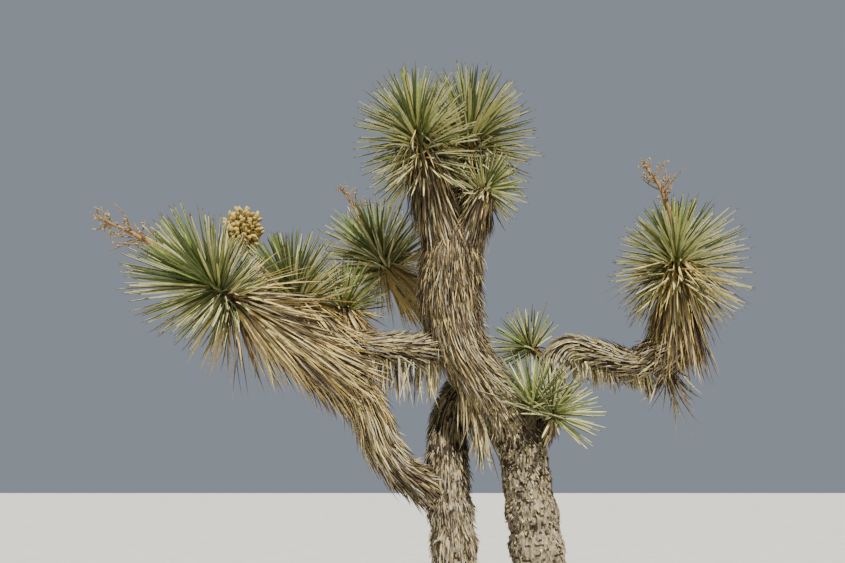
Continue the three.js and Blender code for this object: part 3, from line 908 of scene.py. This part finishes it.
# The shares of its length at which a live leaf has a ring, and a blade's width at shares of its length.
STEPS_OUT = np.array([0, 0.12, 0.3, 0.52, 0.76, 0.94, 1.0])
LIVE_TAPER = ([0, 0.08, 0.33, 0.7, 0.94, 1], [1.0, 0.84, 1.0, 0.78, 0.3, 0])
DEAD_TAPER = ([0, 0.15, 0.7, 1], [1.0, 0.95, 0.7, 0])

# The live materials' slots that every leaf has on its margins and its tip, and the darkest green's.
MARGIN_SLOT = 5
SPINE_SLOT = 6
DEEP_SLOT = 0


def blade_arrays(centre, facing, width, thickness, section, taper):
    """Blades swept along centre lines: ring k is the section times taper k, and the tip is a point."""
    leaves, stations, _ = centre.shape
    corners = len(section)
    along = unit(np.gradient(centre, axis=1))
    side = unit(np.cross(along, facing[:, None]))
    rise = np.cross(side, along)
    half = (width[:, None] * taper[None, :-1] / 2)[:, :, None, None]
    spread = side[:, :-1, None] * section[:, 0, None] * half
    depth = rise[:, :-1, None] * section[:, 1, None] * (thickness * taper[None, :-1] ** 0.7)[..., None, None]
    rings = centre[:, :-1, None] + spread + depth
    body = (stations - 1) * corners
    vertices = np.concatenate([rings.reshape(leaves, body, 3), centre[:, -1:]], axis=1).reshape(-1, 3)
    j = np.arange(corners)
    tips = np.stack([body - corners + j, body - corners + (j + 1) % corners, np.full(corners, body)], axis=-1)
    blocks = [ring_quads(stations - 1, corners), tips, j[None, ::-1]]
    return vertices, on_copies(blocks, leaves, body + 1)


def blade_slots(stations, corners, slot):
    """The slot of every face: its leaf's own, on the sides, the tip and the foot."""
    body = np.repeat(np.repeat(slot[:, None, None], stations - 2, axis=1), corners, axis=2)
    return [body, np.repeat(slot[:, None], corners, axis=1), slot]


def live_piece(name, centre, facing, width, slot):
    """Live leaves: a wide foot, widest a third of the way out, then narrowing to the brown spine."""
    taper = np.interp(STEPS_OUT, *LIVE_TAPER)
    vertices, faces = blade_arrays(centre, facing, width, sizes().leaf_thickness, KEELED, taper)
    body, tips, foot = blade_slots(centre.shape[1], len(KEELED), slot)
    # The margins' faces along the blade's upper edges carry the pale margin, partly a painted highlight.
    body[:, :, KEELED_MARGINS] = MARGIN_SLOT
    tips[:] = SPINE_SLOT
    slots = [body.ravel(), tips.ravel(), foot]
    return mesh_object(name, vertices, faces, slots, live_materials(), smooth=False)


def dead_piece(name, centre, facing, width, slot):
    """Dead leaves: thin, folded blades that narrow towards the tip."""
    taper = np.interp(np.linspace(0, 1, centre.shape[1]), *DEAD_TAPER)
    vertices, faces = blade_arrays(centre, facing, width, DRY_THICKNESS, DRY, taper)
    slots = [block.ravel() for block in blade_slots(centre.shape[1], len(DRY), slot)]
    return mesh_object(name, vertices, faces, slots, dead_materials(), smooth=False)


# Live leaves stray from their places by an angle round the stem and one from it, and bow by a share of
# their length. The lowest turn and bow down as well. They start a little off the stem's middle.
STANDING = {"turn": 0.12, "angle": 0.06, "bow": 0.03, "low_turn": 0.08, "low_bow": 0.05, "root": 0.014}
GROWN_LENGTHS = ([0, 0.3, 0.8, 1], [0.82, 0.98, 1.0, 0.86])

# Dead leaves that lie on a limb start at a share of its radius, drift round it, the more the longer they
# are, curl, twist, and sag on its lower side by a share of their length.
LYING = {
    "root": 0.9,
    "drift": 0.065,
    "drift_length": 0.1,
    "most_drift": 1.6,
    "curl": 0.11,
    "twist": 0.35,
    "sag": 0.3,
    "lower_side": 0.35,
}

# Dead leaves that hang from a stem start at a share of its radius. Their ends stray and their faces twist.
HANGING = {"root": 0.8, "stray": 0.17, "twist": 0.25}


def standing_lines(path, head, length, rng):
    """Centre lines of a crown's live leaves.

    Leaf i stands at i golden angles round the stem, at the angle from it whose cosine falls evenly with i,
    so every part of the crown is equally full. Its root moves down the stem evenly with i too. Its line is
    straight but for a bow that grows with the square of the share u.
    """
    count = head["live"]
    i = np.arange(count)
    share = (i + 0.5) / count
    angle = np.arccos(1 - (1 - math.cos(math.radians(head["open"]))) * share)
    turn = i * GOLDEN_ANGLE + rng.normal(0, STANDING["turn"], count)
    angle = angle + rng.normal(0, STANDING["angle"], count)
    s = path.s[-1] + head["rise"] - (head["rise"] + head["low"]) * share
    along = unit(on_path(path, s, "along") + head["lean"])
    across = unit([0.0, 1.0, 0.0] - along * along[:, 1:2])
    spoke = np.cos(turn)[:, None] * across + np.sin(turn)[:, None] * np.cross(across, along)
    direction = along * np.cos(angle)[:, None] + spoke * np.sin(angle)[:, None]
    direction = unit(direction + DOWN * STANDING["low_turn"] * share[:, None])
    root = on_path(path, s, "centre") + spoke * STANDING["root"]
    kept = 1 - np.maximum(direction @ np.array(head["short"]), 0)
    kept = kept - head["droop"] * np.maximum(-direction[:, 2], 0)
    reach = length * np.interp(share, *GROWN_LENGTHS) * kept * rng.uniform(0.86, 1.03, count)
    u = STEPS_OUT[None, :, None]
    bow = rng.normal(0, STANDING["bow"], (count, 1, 3)) + DOWN * STANDING["low_bow"] * share[:, None, None]
    centre = root[:, None] + (direction[:, None] * u + bow * u * u) * reach[:, None, None]
    facing = unit(along - direction * np.sum(along * direction, axis=1, keepdims=True) + spoke * 1e-3)
    return centre, facing, share


def lying_lines(path, s, turn, length, lift, rng, stations):
    """Centre lines of dead leaves that lie back along a limb.

    At share u a leaf is length times u further down the limb, lift times u to the power 1.3 off its surface
    and a little further round. Its curl is a half sine. The lower side's leaves also sag by a share of
    their length times u to the power 1.5, the more the more level the limb is.
    """
    count = len(s)
    u = np.linspace(0, 1, stations)[None]
    here = s[:, None] - length[:, None] * u
    reach = np.minimum(length / LYING["drift_length"], LYING["most_drift"])
    drift = rng.normal(0, LYING["drift"], count) * reach
    angle = turn[:, None] + drift[:, None] * u
    spoke = spoke_at(path, here, angle)
    middle = on_path(path, here, "centre")
    radius = on_path(path, here, "radius") * LYING["root"]
    if path.rooted:
        radius = radius + stem_relief(middle[..., 2], angle)
    curl = rng.normal(0, LYING["curl"], count)[:, None] * np.sin(math.pi * u)
    centre = middle + spoke * (radius + lift[:, None] * (u**1.3 + curl))[..., None]
    under = np.clip(LYING["lower_side"] - spoke[:, :1, 2], 0, 1)
    level = np.sqrt(np.clip(1 - on_path(path, here, "along")[:, :1, 2] ** 2, 0, 1))
    sag = LYING["sag"] * length[:, None] * u**1.5 * under * level
    centre[..., 2] -= sag * rng.uniform(0.2, 1.6, count)[:, None]
    return centre, unit(spoke[:, 0] + rng.normal(0, LYING["twist"], (count, 3)))


def press_out(points, path, share):
    """Moves points inside a limb straight away from its nearest station, out to a share of its radius.

    Every third station is tried.
    """
    stations = path.centre[::3]
    radius = path.radius[::3]
    away = points[..., None, :] - stations
    distance = np.linalg.norm(away, axis=-1)
    near = np.argmin(distance - radius, axis=-1)
    gap = np.take_along_axis(distance, near[..., None], axis=-1)[..., 0]
    out = np.take_along_axis(away, near[..., None, None], axis=-2)[..., 0, :]
    out = out / np.maximum(gap, 1e-6)[..., None]
    return points + out * np.maximum(radius[near] * share - gap, 0)[..., None]


def hanging_lines(path, limbs, s, turn, length, angle, hang, rng, stations=7):
    """Centre lines of dead leaves that hang from a stem.

    A leaf starts back along the stem, at its angle from it, and its heading turns evenly towards straight
    down, so its line is a parabola. Where that passes through a limb, it is moved out to the limb's
    surface.
    """
    count = len(s)
    along = on_path(path, s, "along")
    spoke = spoke_at(path, s, turn)
    root = on_path(path, s, "centre") + spoke * on_path(path, s, "radius")[:, None] * HANGING["root"]
    start = unit(spoke * np.sin(angle)[:, None] - along * np.cos(angle)[:, None])
    pull = DOWN * (hang * rng.uniform(0.4, 1.3, count))[:, None]
    end = unit(start + pull + rng.normal(0, HANGING["stray"], (count, 3)))
    u = np.linspace(0, 1, stations)[None, :, None]
    centre = root[:, None] + (start[:, None] * u + (end - start)[:, None] * u * u / 2) * length[:, None, None]
    for limb in limbs:
        centre = press_out(centre, limb, 0.93 + 0.12 * rng.random((count, 1)))
    return centre, unit(spoke + rng.normal(0, HANGING["twist"], (count, 3)))


def obstacles(name):
    """Points down the middle of every limb and of all heads' stems but the named one's, with radii."""
    paths = [line_path(line) for line in LINES]
    paths += [head_path(head) for other, head in HEADS.items() if other != name]
    centre = np.vstack([path.centre[::4] for path in paths])
    return centre, np.concatenate([path.radius[::4] for path in paths])


def clear_of(centre, blocks, margin):
    """Which leaves keep all but their first two stations further than margin from every block."""
    points, radii = blocks
    gap = np.linalg.norm(centre[:, 2:, None] - points, axis=3) - radii
    return gap.min(axis=(1, 2)) > margin


def deal(rng, count, weights):
    """Deals out slots by their weights, which are the same for all leaves or one row for each."""
    edges = np.cumsum(np.broadcast_to(np.asarray(weights, float), (count, np.shape(weights)[-1])), axis=1)
    return np.minimum((rng.random(count)[:, None] * edges[:, -1:] > edges).sum(axis=1), edges.shape[1] - 1)


# Pieces


def bark_piece(name, line, first, last):
    """A limb's bark between two of its knots.

    The radius is the limb's less its coat, plus ridges, where one of three noises is near zero, less
    creases, where a fourth is. Creases have painted shade, and so has what lies under a coat; the second
    stem's top has a painted shadow. The stems' feet are level.
    """
    path = line_path(line)
    spans = len(LINES[line]["knots"]) - 1
    s0, s1 = (np.interp(k / spans, path.t, path.s) for k in (first, last))
    if path.rooted and first == 0:
        s0 = np.interp(-FOOT_DEPTH, path.centre[:, 2], path.s)
    coated = name not in ("trunk", "second_stem")
    step = COATED_STEP if coated else BARE_STEP
    rings = max(8, int((s1 - s0) / step))
    widest = on_path(path, np.linspace(s0, s1, 20), "radius").max()
    sides = int(2 * math.pi * widest / step)
    s = np.linspace(s0, s1, rings)
    x, y = np.meshgrid(np.arange(sides) / sides, s - s0)

    def noise(width, height, seed):
        """Noise on the bark, in cells of a width around it and a height along it."""
        around = max(4, int(2 * math.pi * widest / width))
        return np.abs(lattice_noise(x * around, y / height, around, sizes().seed + seed))

    relief = 0
    for k, (width, height, share) in enumerate(COATED_RIDGES if coated else BARE_RIDGES):
        relief = relief + share * (1 - 2 * noise(width, height, SEEDS["ridges"] * k))
    width, height, share = CREASES.get(name, ALL_PAINTED_SHADE)
    crease = noise(width, height, SEEDS["creases"])
    edge = np.quantile(crease, share)
    if not coated:
        relief = relief - CREASE_DEPTH * np.clip(1 - crease / edge, 0, 1)
    up = on_path(path, s, "centre")[:, 2]
    filled = COATED_SHARE if coated else BARE_SHARE
    if name == "leader":
        filled = np.interp(up, *LEADER_SHARES)
    depth = sizes().bark_relief * (COATED_RELIEF if coated else 1.0)
    radius = (on_path(path, s, "radius") * filled)[:, None] + relief * depth
    if path.rooted:
        radius = radius + stem_relief(up[:, None], x * 2 * math.pi)
    vertices, faces = path_tube(path, s, radius)
    vertices[:, 2] = np.maximum(vertices[:, 2], 0)
    # The dark slot is painted shade in the creases and under the coats.
    dark = crease[:-1] <= edge
    # A painted shadow, as of the limbs above, on the second stem's top.
    if name == "second_stem":
        dark |= up[:-1, None] > SECOND_STEM_SHADOW + SECOND_STEM_RAGGED * crease[:-1]
    slots = [dark.ravel(), np.zeros(len(faces[1]))]
    piece = mesh_object("bark_" + name, vertices, faces, slots, [corky_bark(), under_thatch()])
    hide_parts(name)


def thatch_piece(name, path, start, end):
    """The coat of dead leaves on a limb between two shares of its line, with stubs on the old stems.

    Leaf i starts at i golden angles round the limb, and evenly along it.
    """
    rng = np.random.default_rng(sizes().seed + sum(map(ord, name)))
    s0, s1 = (np.interp(t, path.t, path.s) for t in (start, end))
    density, shortest, longest, stand, low, high = COATS[name]
    mean = on_path(path, np.linspace(s0, s1, 20), "radius").mean()
    count = int(2 * math.pi * mean * (s1 - s0) * density * sizes().thatch_density)
    i = np.arange(count)
    share = (i + rng.random(count)) / count
    s = s0 + (s1 - s0) * share + shortest * COAT["ahead"]
    turn = i * GOLDEN_ANGLE + rng.normal(0, COAT["turn"], count)
    up = on_path(path, s, "centre")[:, 2]
    length = shortest + (longest - shortest) * rng.random(count) ** COAT["length_power"]
    length = length * np.interp(up, *GROUND_LENGTHS)
    lift = stand * (COAT["least_lift"] + COAT["more_lift"] * rng.random(count) ** COAT["lift_power"])
    if name in LIMB_LENGTHS:
        length = length * np.interp(up, *LIMB_LENGTHS[name])
    if name == "leader":
        share = np.clip((up - LEADER_TURNS) / LEADER_TURN_RISE, 0, 1)
    mix = np.asarray(low) * (1 - share[:, None]) + np.asarray(high) * share[:, None]
    keep = up > rng.uniform(*COAT["foot"], count)
    if name == "trunk":
        keep &= rng.random(count) < np.interp(up, *TRUNK_STUBS_LEFT)
    stations = 3 if longest < STUB_LENGTH else 4 if longest < FEW_RINGS_LENGTH else 5
    centre, facing = lying_lines(path, s[keep], turn[keep], length[keep], lift[keep], rng, stations)
    width = sizes().dead_leaf_width * rng.uniform(*COAT["widths"], keep.sum())
    if longest < STUB_LENGTH:
        width = width * COAT["stub_width"]
    elif longest < NARROW_LENGTH:
        width = width * COAT["leader_width" if name == "leader" else "narrow_width"]
    piece = dead_piece("thatch_" + name, centre, facing, width, deal(rng, count, mix)[keep])


def crown_piece(name, head, path, length, rng):
    """A head's live leaves, less those that other limbs are in the way of and some that droop."""
    centre, facing, share = standing_lines(path, head, length, rng)
    keep = clear_of(centre, obstacles(name), CROWN["gap"])
    count = head["live"]
    drooping = centre[:, -1, 2] < centre[:, 0, 2] - CROWN["drop"]
    keep &= ~drooping | (rng.random(count) > head["thin"])
    # The deep green leaves that shade adds, and some drooping ones below, are painted shade in the crown.
    shade = [head["shade"], 0, 0, 0, 0]
    young, grown, old = (deal(rng, count, np.add(mix, shade)) for mix in LIVE_MIXES)
    slot = np.where(share < head["young"], young, np.where(share < CROWN["old"], grown, old))
    if head["droop"]:
        slot = np.where(drooping & (rng.random(count) < CROWN["dark"]), DEEP_SLOT, slot)
    least = CROWN["least_width"]
    width = sizes().leaf_width * (least + (1 - least) * head["reach"]) * rng.uniform(*CROWN["widths"], count)
    leaves = live_piece("leaves_" + name, centre[keep], facing[keep], width[keep], slot[keep])
    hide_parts(name)


def skirt_piece(name, head, path, length, rng):
    """The dead leaves under a crown, which stand out the more the nearer they are to it."""
    count = head["dead"]
    i = np.arange(count)
    share = (i + rng.random(count)) / count
    s = path.s[-1] * (SKIRT["top"] - head["skirt_span"] * share)
    fresh = np.clip(1 - share * SKIRT["ages"], 0, 1)
    angle = SKIRT["angle"] + SKIRT["fresh_angle"] * fresh**1.3 + SKIRT["stray_angle"] * rng.random(count)
    first, last = head["skirt_reach"]
    reach = length * rng.uniform(*SKIRT["lengths"], count) * (first + (last - first) * share)
    hang = head["hang"] * (1 - SKIRT["stiff"] * fresh)
    limbs = [path] + ([line_path(head["line"])] if head["line"] else [])
    centre, facing = hanging_lines(path, limbs, s, i * GOLDEN_ANGLE, reach, np.radians(angle), hang, rng)
    new, old = np.array(head["skirt_mix"])
    ripe = np.clip(share * SKIRT["ripens"], 0, 1)[:, None]
    width = sizes().dead_leaf_width * rng.uniform(*SKIRT["widths"], count)
    slot = deal(rng, count, new * (1 - ripe) + old * ripe)
    skirt = dead_piece("skirt_" + name, centre, facing, width, slot)


def core_piece(name, head, path):
    """The stem inside a head, whose last rings close to a blunt tip."""
    s = np.linspace(0, path.s[-1] + head["rise"], CORE_RINGS)
    radius = np.repeat(on_path(path, s, "radius")[:, None] * CORE_SHARE, CORE_SIDES, axis=1)
    radius[-len(CORE_TIP):] *= np.array(CORE_TIP)[:, None]
    vertices, faces = path_tube(path, s, radius)
    one_finish_piece("stem_" + name, vertices, faces, stem_core())


def twig_lines(start, end, bend, stations=7):
    """Lines from start to end points, bowed sideways by bend times a half sine."""
    u = np.linspace(0, 1, stations)[None, :, None]
    return start[:, None] + (end - start)[:, None] * u + bend[:, None] * np.sin(math.pi * u)


def rods_piece(name, lines, foot, tip, material, sides=7):
    """Round rods along lines, each narrowing evenly from its foot's radius to its tip's."""
    vertices, quads, caps, start = [], [], [], 0
    for line, r0, r1 in zip(lines, foot, tip):
        along = unit(np.gradient(line, axis=0))
        across = square_to(along)
        radius = np.repeat(np.linspace(r0, r1, len(line))[:, None], sides, axis=1)
        points, (sheet, ends) = tube_arrays(line, across, np.cross(across, along), radius)
        vertices.append(points)
        quads.append(sheet + start)
        caps.append(ends + start)
        start += len(points)
    one_finish_piece(name, np.vstack(vertices), [np.vstack(quads), np.vstack(caps)], material)


def pods_piece(name, centre, axis, length, width, material, rings=4, sides=9):
    """Pods whose radius is a power of a sine from end to end, with lobes as a cosine of the angle tripled."""
    pods = len(centre)
    u = np.linspace(0, 1, rings + 2)[1:-1]
    angle = np.arange(sides) * (2 * math.pi / sides)
    swell = np.sin(math.pi * u) ** 0.7 * (1 - 0.18 * u)
    lobe = 1 + 0.14 * np.cos(3 * angle)
    across = square_to(axis)
    beside = np.cross(axis, across)
    spoke = across[:, None, None] * np.cos(angle)[:, None] + beside[:, None, None] * np.sin(angle)[:, None]
    ring = (swell[:, None] * lobe[None])[None, ..., None] * (width[:, None, None, None] / 2)
    rise = axis[:, None, None] * ((u - 0.5)[None, :, None, None] * length[:, None, None, None])
    body = centre[:, None, None] + spoke * ring + rise
    ends = centre[:, None] + axis[:, None] * (np.array([-0.5, 0.5])[None, :, None] * length[:, None, None])
    vertices = np.concatenate([body.reshape(pods, -1, 3), ends], axis=1).reshape(-1, 3)
    faces = on_copies([ring_quads(rings, sides), pole_caps(rings, sides)], pods, rings * sides + 2)
    one_finish_piece(name, vertices, faces, material)


def curtain_piece(name, curtain, rng):
    """Dead leaves that hang almost straight down from a seam, with a bow as the square of the share u."""
    count = curtain["count"]
    path = make_path(curtain["seam"], count=60)
    root = on_path(path, path.s[-1] * rng.random(count), "centre")
    root = root + rng.normal(0, 1, (count, 3)) * CURTAIN["scatter"]
    heading = unit(rng.normal(0, 1, (count, 3)) * CURTAIN["stray"] + CURTAIN["heading"])
    length = sizes().leaf_length * curtain["reach"] * rng.uniform(*CURTAIN["lengths"], count)
    u = np.linspace(0, 1, 6)[None, :, None]
    bow = rng.normal(0, curtain["bow"], (count, 1, 3))
    centre = root[:, None] + (heading[:, None] * u + bow * u * u) * length[:, None, None]
    facing = unit(rng.normal(0, 1, (count, 3)) * [1, 1, 0] + 1e-3)
    width = sizes().dead_leaf_width * rng.uniform(*CURTAIN["widths"], count)
    piece = dead_piece(name, centre, facing, width, deal(rng, count, curtain["mix"]))
    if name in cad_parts:
        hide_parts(name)


def stalk_pieces(name, tip, twigs, rng):
    """An old flower stalk as a bowed rod from a head's tip, its side twigs, and the husks left on them."""
    foot = np.array(HEADS[name]["stem"][-1])
    tip = np.array(tip)
    run = tip - foot
    bow = np.array(STALK["bow"])
    r0, r1 = STALK["radii"]
    rods_piece("stalk_" + name, twig_lines(foot[None], tip[None], bow[None], 14), [r0], [r1], stalk_wood(), 9)
    share = np.linspace(*STALK["twigs_at"], twigs)
    start = foot + run * share[:, None] + bow * np.sin(math.pi * share)[:, None]
    side = unit(rng.normal(0, 1, (twigs, 3)) + [0, 0, 0.2])
    heading = unit(unit(run) * 0.6 + side)
    reach = np.linspace(*STALK["twig_lengths"], twigs)[:, None] * rng.uniform(0.7, 1.3, (twigs, 1))
    end = start + heading * reach
    lines = twig_lines(start, end, rng.normal(0, 0.008, (twigs, 3)), 6)
    r0, r1 = STALK["twig_radii"]
    rods_piece("twigs_" + name, lines, [r0] * twigs, [r1] * twigs, stalk_wood(), 5)
    husks = twigs * STALK["husks"]
    u = rng.random((twigs, STALK["husks"]))
    seat = start[:, None] + (end - start)[:, None] * (0.3 + 0.7 * u[..., None])
    axis = unit(rng.normal(0, 1, (husks, 3)) + [0, 0, -0.4])
    size = rng.uniform(*STALK["husk_lengths"], husks)
    seat = seat.reshape(-1, 3) + axis * size[:, None] * 0.4
    pods_piece("husks_" + name, seat, axis, size, size * STALK["husk_width"], dry_husk())


def fruit_pieces(rng):
    """The bunch of pods: pod i lies i golden angles round, at a height that falls evenly with i."""
    foot = np.array(HEADS[FRUIT["head"]]["stem"][-1])
    middle = np.array(FRUIT["centre"])
    top = middle + [0, 0, FRUIT["size"][2] * 0.7]
    bow = np.array([[-0.02, 0, 0.0]])
    rods_piece("stalk_fruit", twig_lines(foot[None], top[None], bow, 12), [0.013], [0.006], stalk_wood(), 9)
    pods = FRUIT["pods"]
    i = np.arange(pods)
    height = 1 - (2 * i + 1) / pods
    ring = np.sqrt(1 - height**2)
    turn = i * GOLDEN_ANGLE
    outward = np.stack([ring * np.cos(turn), ring * np.sin(turn), height], axis=1)
    seat = middle + outward * FRUIT["size"] * rng.uniform(0.45, 0.98, (pods, 1))
    axis = unit(outward + rng.normal(0, 0.45, (pods, 3)) + [0, 0, 0.25])
    lines = twig_lines(middle + outward * 0.01, seat, rng.normal(0, 0.004, (pods, 3)), 4)
    rods_piece("twigs_fruit", lines, [0.003] * pods, [0.0025] * pods, stalk_wood(), 5)
    length = rng.uniform(*FRUIT["pod_lengths"], pods)
    pods_piece("pods_fruit", seat, axis, length, rng.uniform(*FRUIT["pod_widths"], pods), pod_shell())


# Operators


class JOSHUA_OT_bark(bpy.types.Operator):
    """Makes the bark of the stems and boughs"""

    bl_idname = "joshua.bark"
    bl_label = "Bark"

    def execute(self, context):
        for line, made in LINES.items():
            for name, (first, last) in made["nodes"].items():
                bark_piece(name, line, first, last)
        return {"FINISHED"}


class JOSHUA_OT_thatch(bpy.types.Operator):
    """Makes the coats of dead leaves on the stems and boughs"""

    bl_idname = "joshua.thatch"
    bl_label = "Thatch"

    def execute(self, context):
        for line, made in LINES.items():
            path = line_path(line)
            spans = len(made["knots"]) - 1
            for name, (first, last) in made["nodes"].items():
                thatch_piece(name, path, first / spans, last / spans)
        thatch_piece("head_right", head_path(HEADS["head_right"]), *RIGHT_STEM_COAT)
        thatch_piece("leader_foot", line_path("main"), *LEADER_FOOT_COAT)
        return {"FINISHED"}


class JOSHUA_OT_heads(bpy.types.Operator):
    """Makes the heads and sprouts of live leaves with their skirts of dead ones"""

    bl_idname = "joshua.heads"
    bl_label = "Leaf heads"

    def execute(self, context):
        for k, (name, head) in enumerate(HEADS.items()):
            rng = np.random.default_rng(sizes().seed + SEEDS["heads"] + k)
            path = head_path(head)
            length = sizes().leaf_length * head["reach"]
            crown_piece(name, head, path, length, rng)
            skirt_piece(name, head, path, length, rng)
            core_piece(name, head, path)
        return {"FINISHED"}


class JOSHUA_OT_curtains(bpy.types.Operator):
    """Makes the rows of dead leaves that hang under the limbs"""

    bl_idname = "joshua.curtains"
    bl_label = "Hanging leaves"

    def execute(self, context):
        for k, (name, curtain) in enumerate(CURTAINS.items()):
            rng = np.random.default_rng(sizes().seed + SEEDS["curtains"] + k)
            curtain_piece(name, curtain, rng)
        return {"FINISHED"}


class JOSHUA_OT_stalks(bpy.types.Operator):
    """Makes the old flower stalks with their bare twigs, and the bunch of pods"""

    bl_idname = "joshua.stalks"
    bl_label = "Stalks and pods"

    def execute(self, context):
        for k, (name, (tip, twigs)) in enumerate(STALKS.items()):
            rng = np.random.default_rng(sizes().seed + SEEDS["stalks"] + k)
            stalk_pieces(name, tip, twigs, rng)
        fruit_pieces(np.random.default_rng(sizes().seed + SEEDS["fruit"]))
        return {"FINISHED"}


class JOSHUA_OT_stage(bpy.types.Operator):
    """Sets the pale floor, the soft light and the camera"""

    bl_idname = "joshua.stage"
    bl_label = "Stage"

    def execute(self, context):
        bpy.ops.mesh.primitive_plane_add(size=FLOOR_SIZE, location=(0, 0, -FLOOR_GAP))
        floor = context.object
        floor.name = "floor"
        floor.data.materials.append(pale_floor())
        world = bpy.data.worlds.new("studio")
        world.use_nodes = True
        sky = world.node_tree.nodes["Background"]
        sky.inputs["Color"].default_value = SKY_COLOUR
        sky.inputs["Strength"].default_value = SKY_STRENGTH
        context.scene.world = world
        for name, (energy, softness, turn) in SUNS.items():
            light = bpy.data.lights.new(name, "SUN")
            light.energy = energy
            light.color = SUN_COLOUR
            light.angle = math.radians(softness)
            lamp = bpy.data.objects.new(name, light)
            lamp.rotation_euler = [math.radians(a) for a in turn]
            context.scene.collection.objects.link(lamp)
        camera = bpy.data.cameras.new("camera")
        camera.sensor_width = SENSOR_WIDTH
        camera.lens = SENSOR_WIDTH * FOCAL_PIXELS / IMAGE_WIDTH
        eye = bpy.data.objects.new("camera", camera)
        eye.location = EYE
        tilt = math.atan((HORIZON_ROW - IMAGE_HEIGHT / 2) / FOCAL_PIXELS)
        eye.rotation_euler = (math.pi / 2 + tilt, 0, 0)
        context.scene.collection.objects.link(eye)
        context.scene.camera = eye
        return {"FINISHED"}


STEPS = (
    JOSHUA_OT_stage,
    JOSHUA_OT_bark,
    JOSHUA_OT_thatch,
    JOSHUA_OT_heads,
    JOSHUA_OT_curtains,
    JOSHUA_OT_stalks,
)


class JOSHUA_PT_panel(bpy.types.Panel):
    """Lists the tree's settings and steps"""

    bl_label = "Joshua Tree"
    bl_idname = "JOSHUA_PT_panel"
    bl_space_type = "VIEW_3D"
    bl_region_type = "UI"
    bl_category = "Joshua Tree"

    def draw(self, context):
        for settings in (context.scene.joshua_tree_sizes, context.scene.joshua_tree_colours):
            column = self.layout.column(align=True)
            for key in settings.__annotations__:
                column.prop(settings, key)
        for step in STEPS:
            self.layout.operator(step.bl_idname)


CLASSES = (JoshuaTreeSizes, JoshuaTreeColours, *STEPS, JOSHUA_PT_panel)


def register():
    for cls in CLASSES:
        bpy.utils.register_class(cls)
    bpy.types.Scene.joshua_tree_sizes = bpy.props.PointerProperty(type=JoshuaTreeSizes)
    bpy.types.Scene.joshua_tree_colours = bpy.props.PointerProperty(type=JoshuaTreeColours)


def unregister():
    del bpy.types.Scene.joshua_tree_colours
    del bpy.types.Scene.joshua_tree_sizes
    for cls in reversed(CLASSES):
        bpy.utils.unregister_class(cls)


def main():
    register()
    for step in STEPS:
        group, action = step.bl_idname.split(".")
        getattr(getattr(bpy.ops, group), action)()


if __name__ == "__main__":
    main()
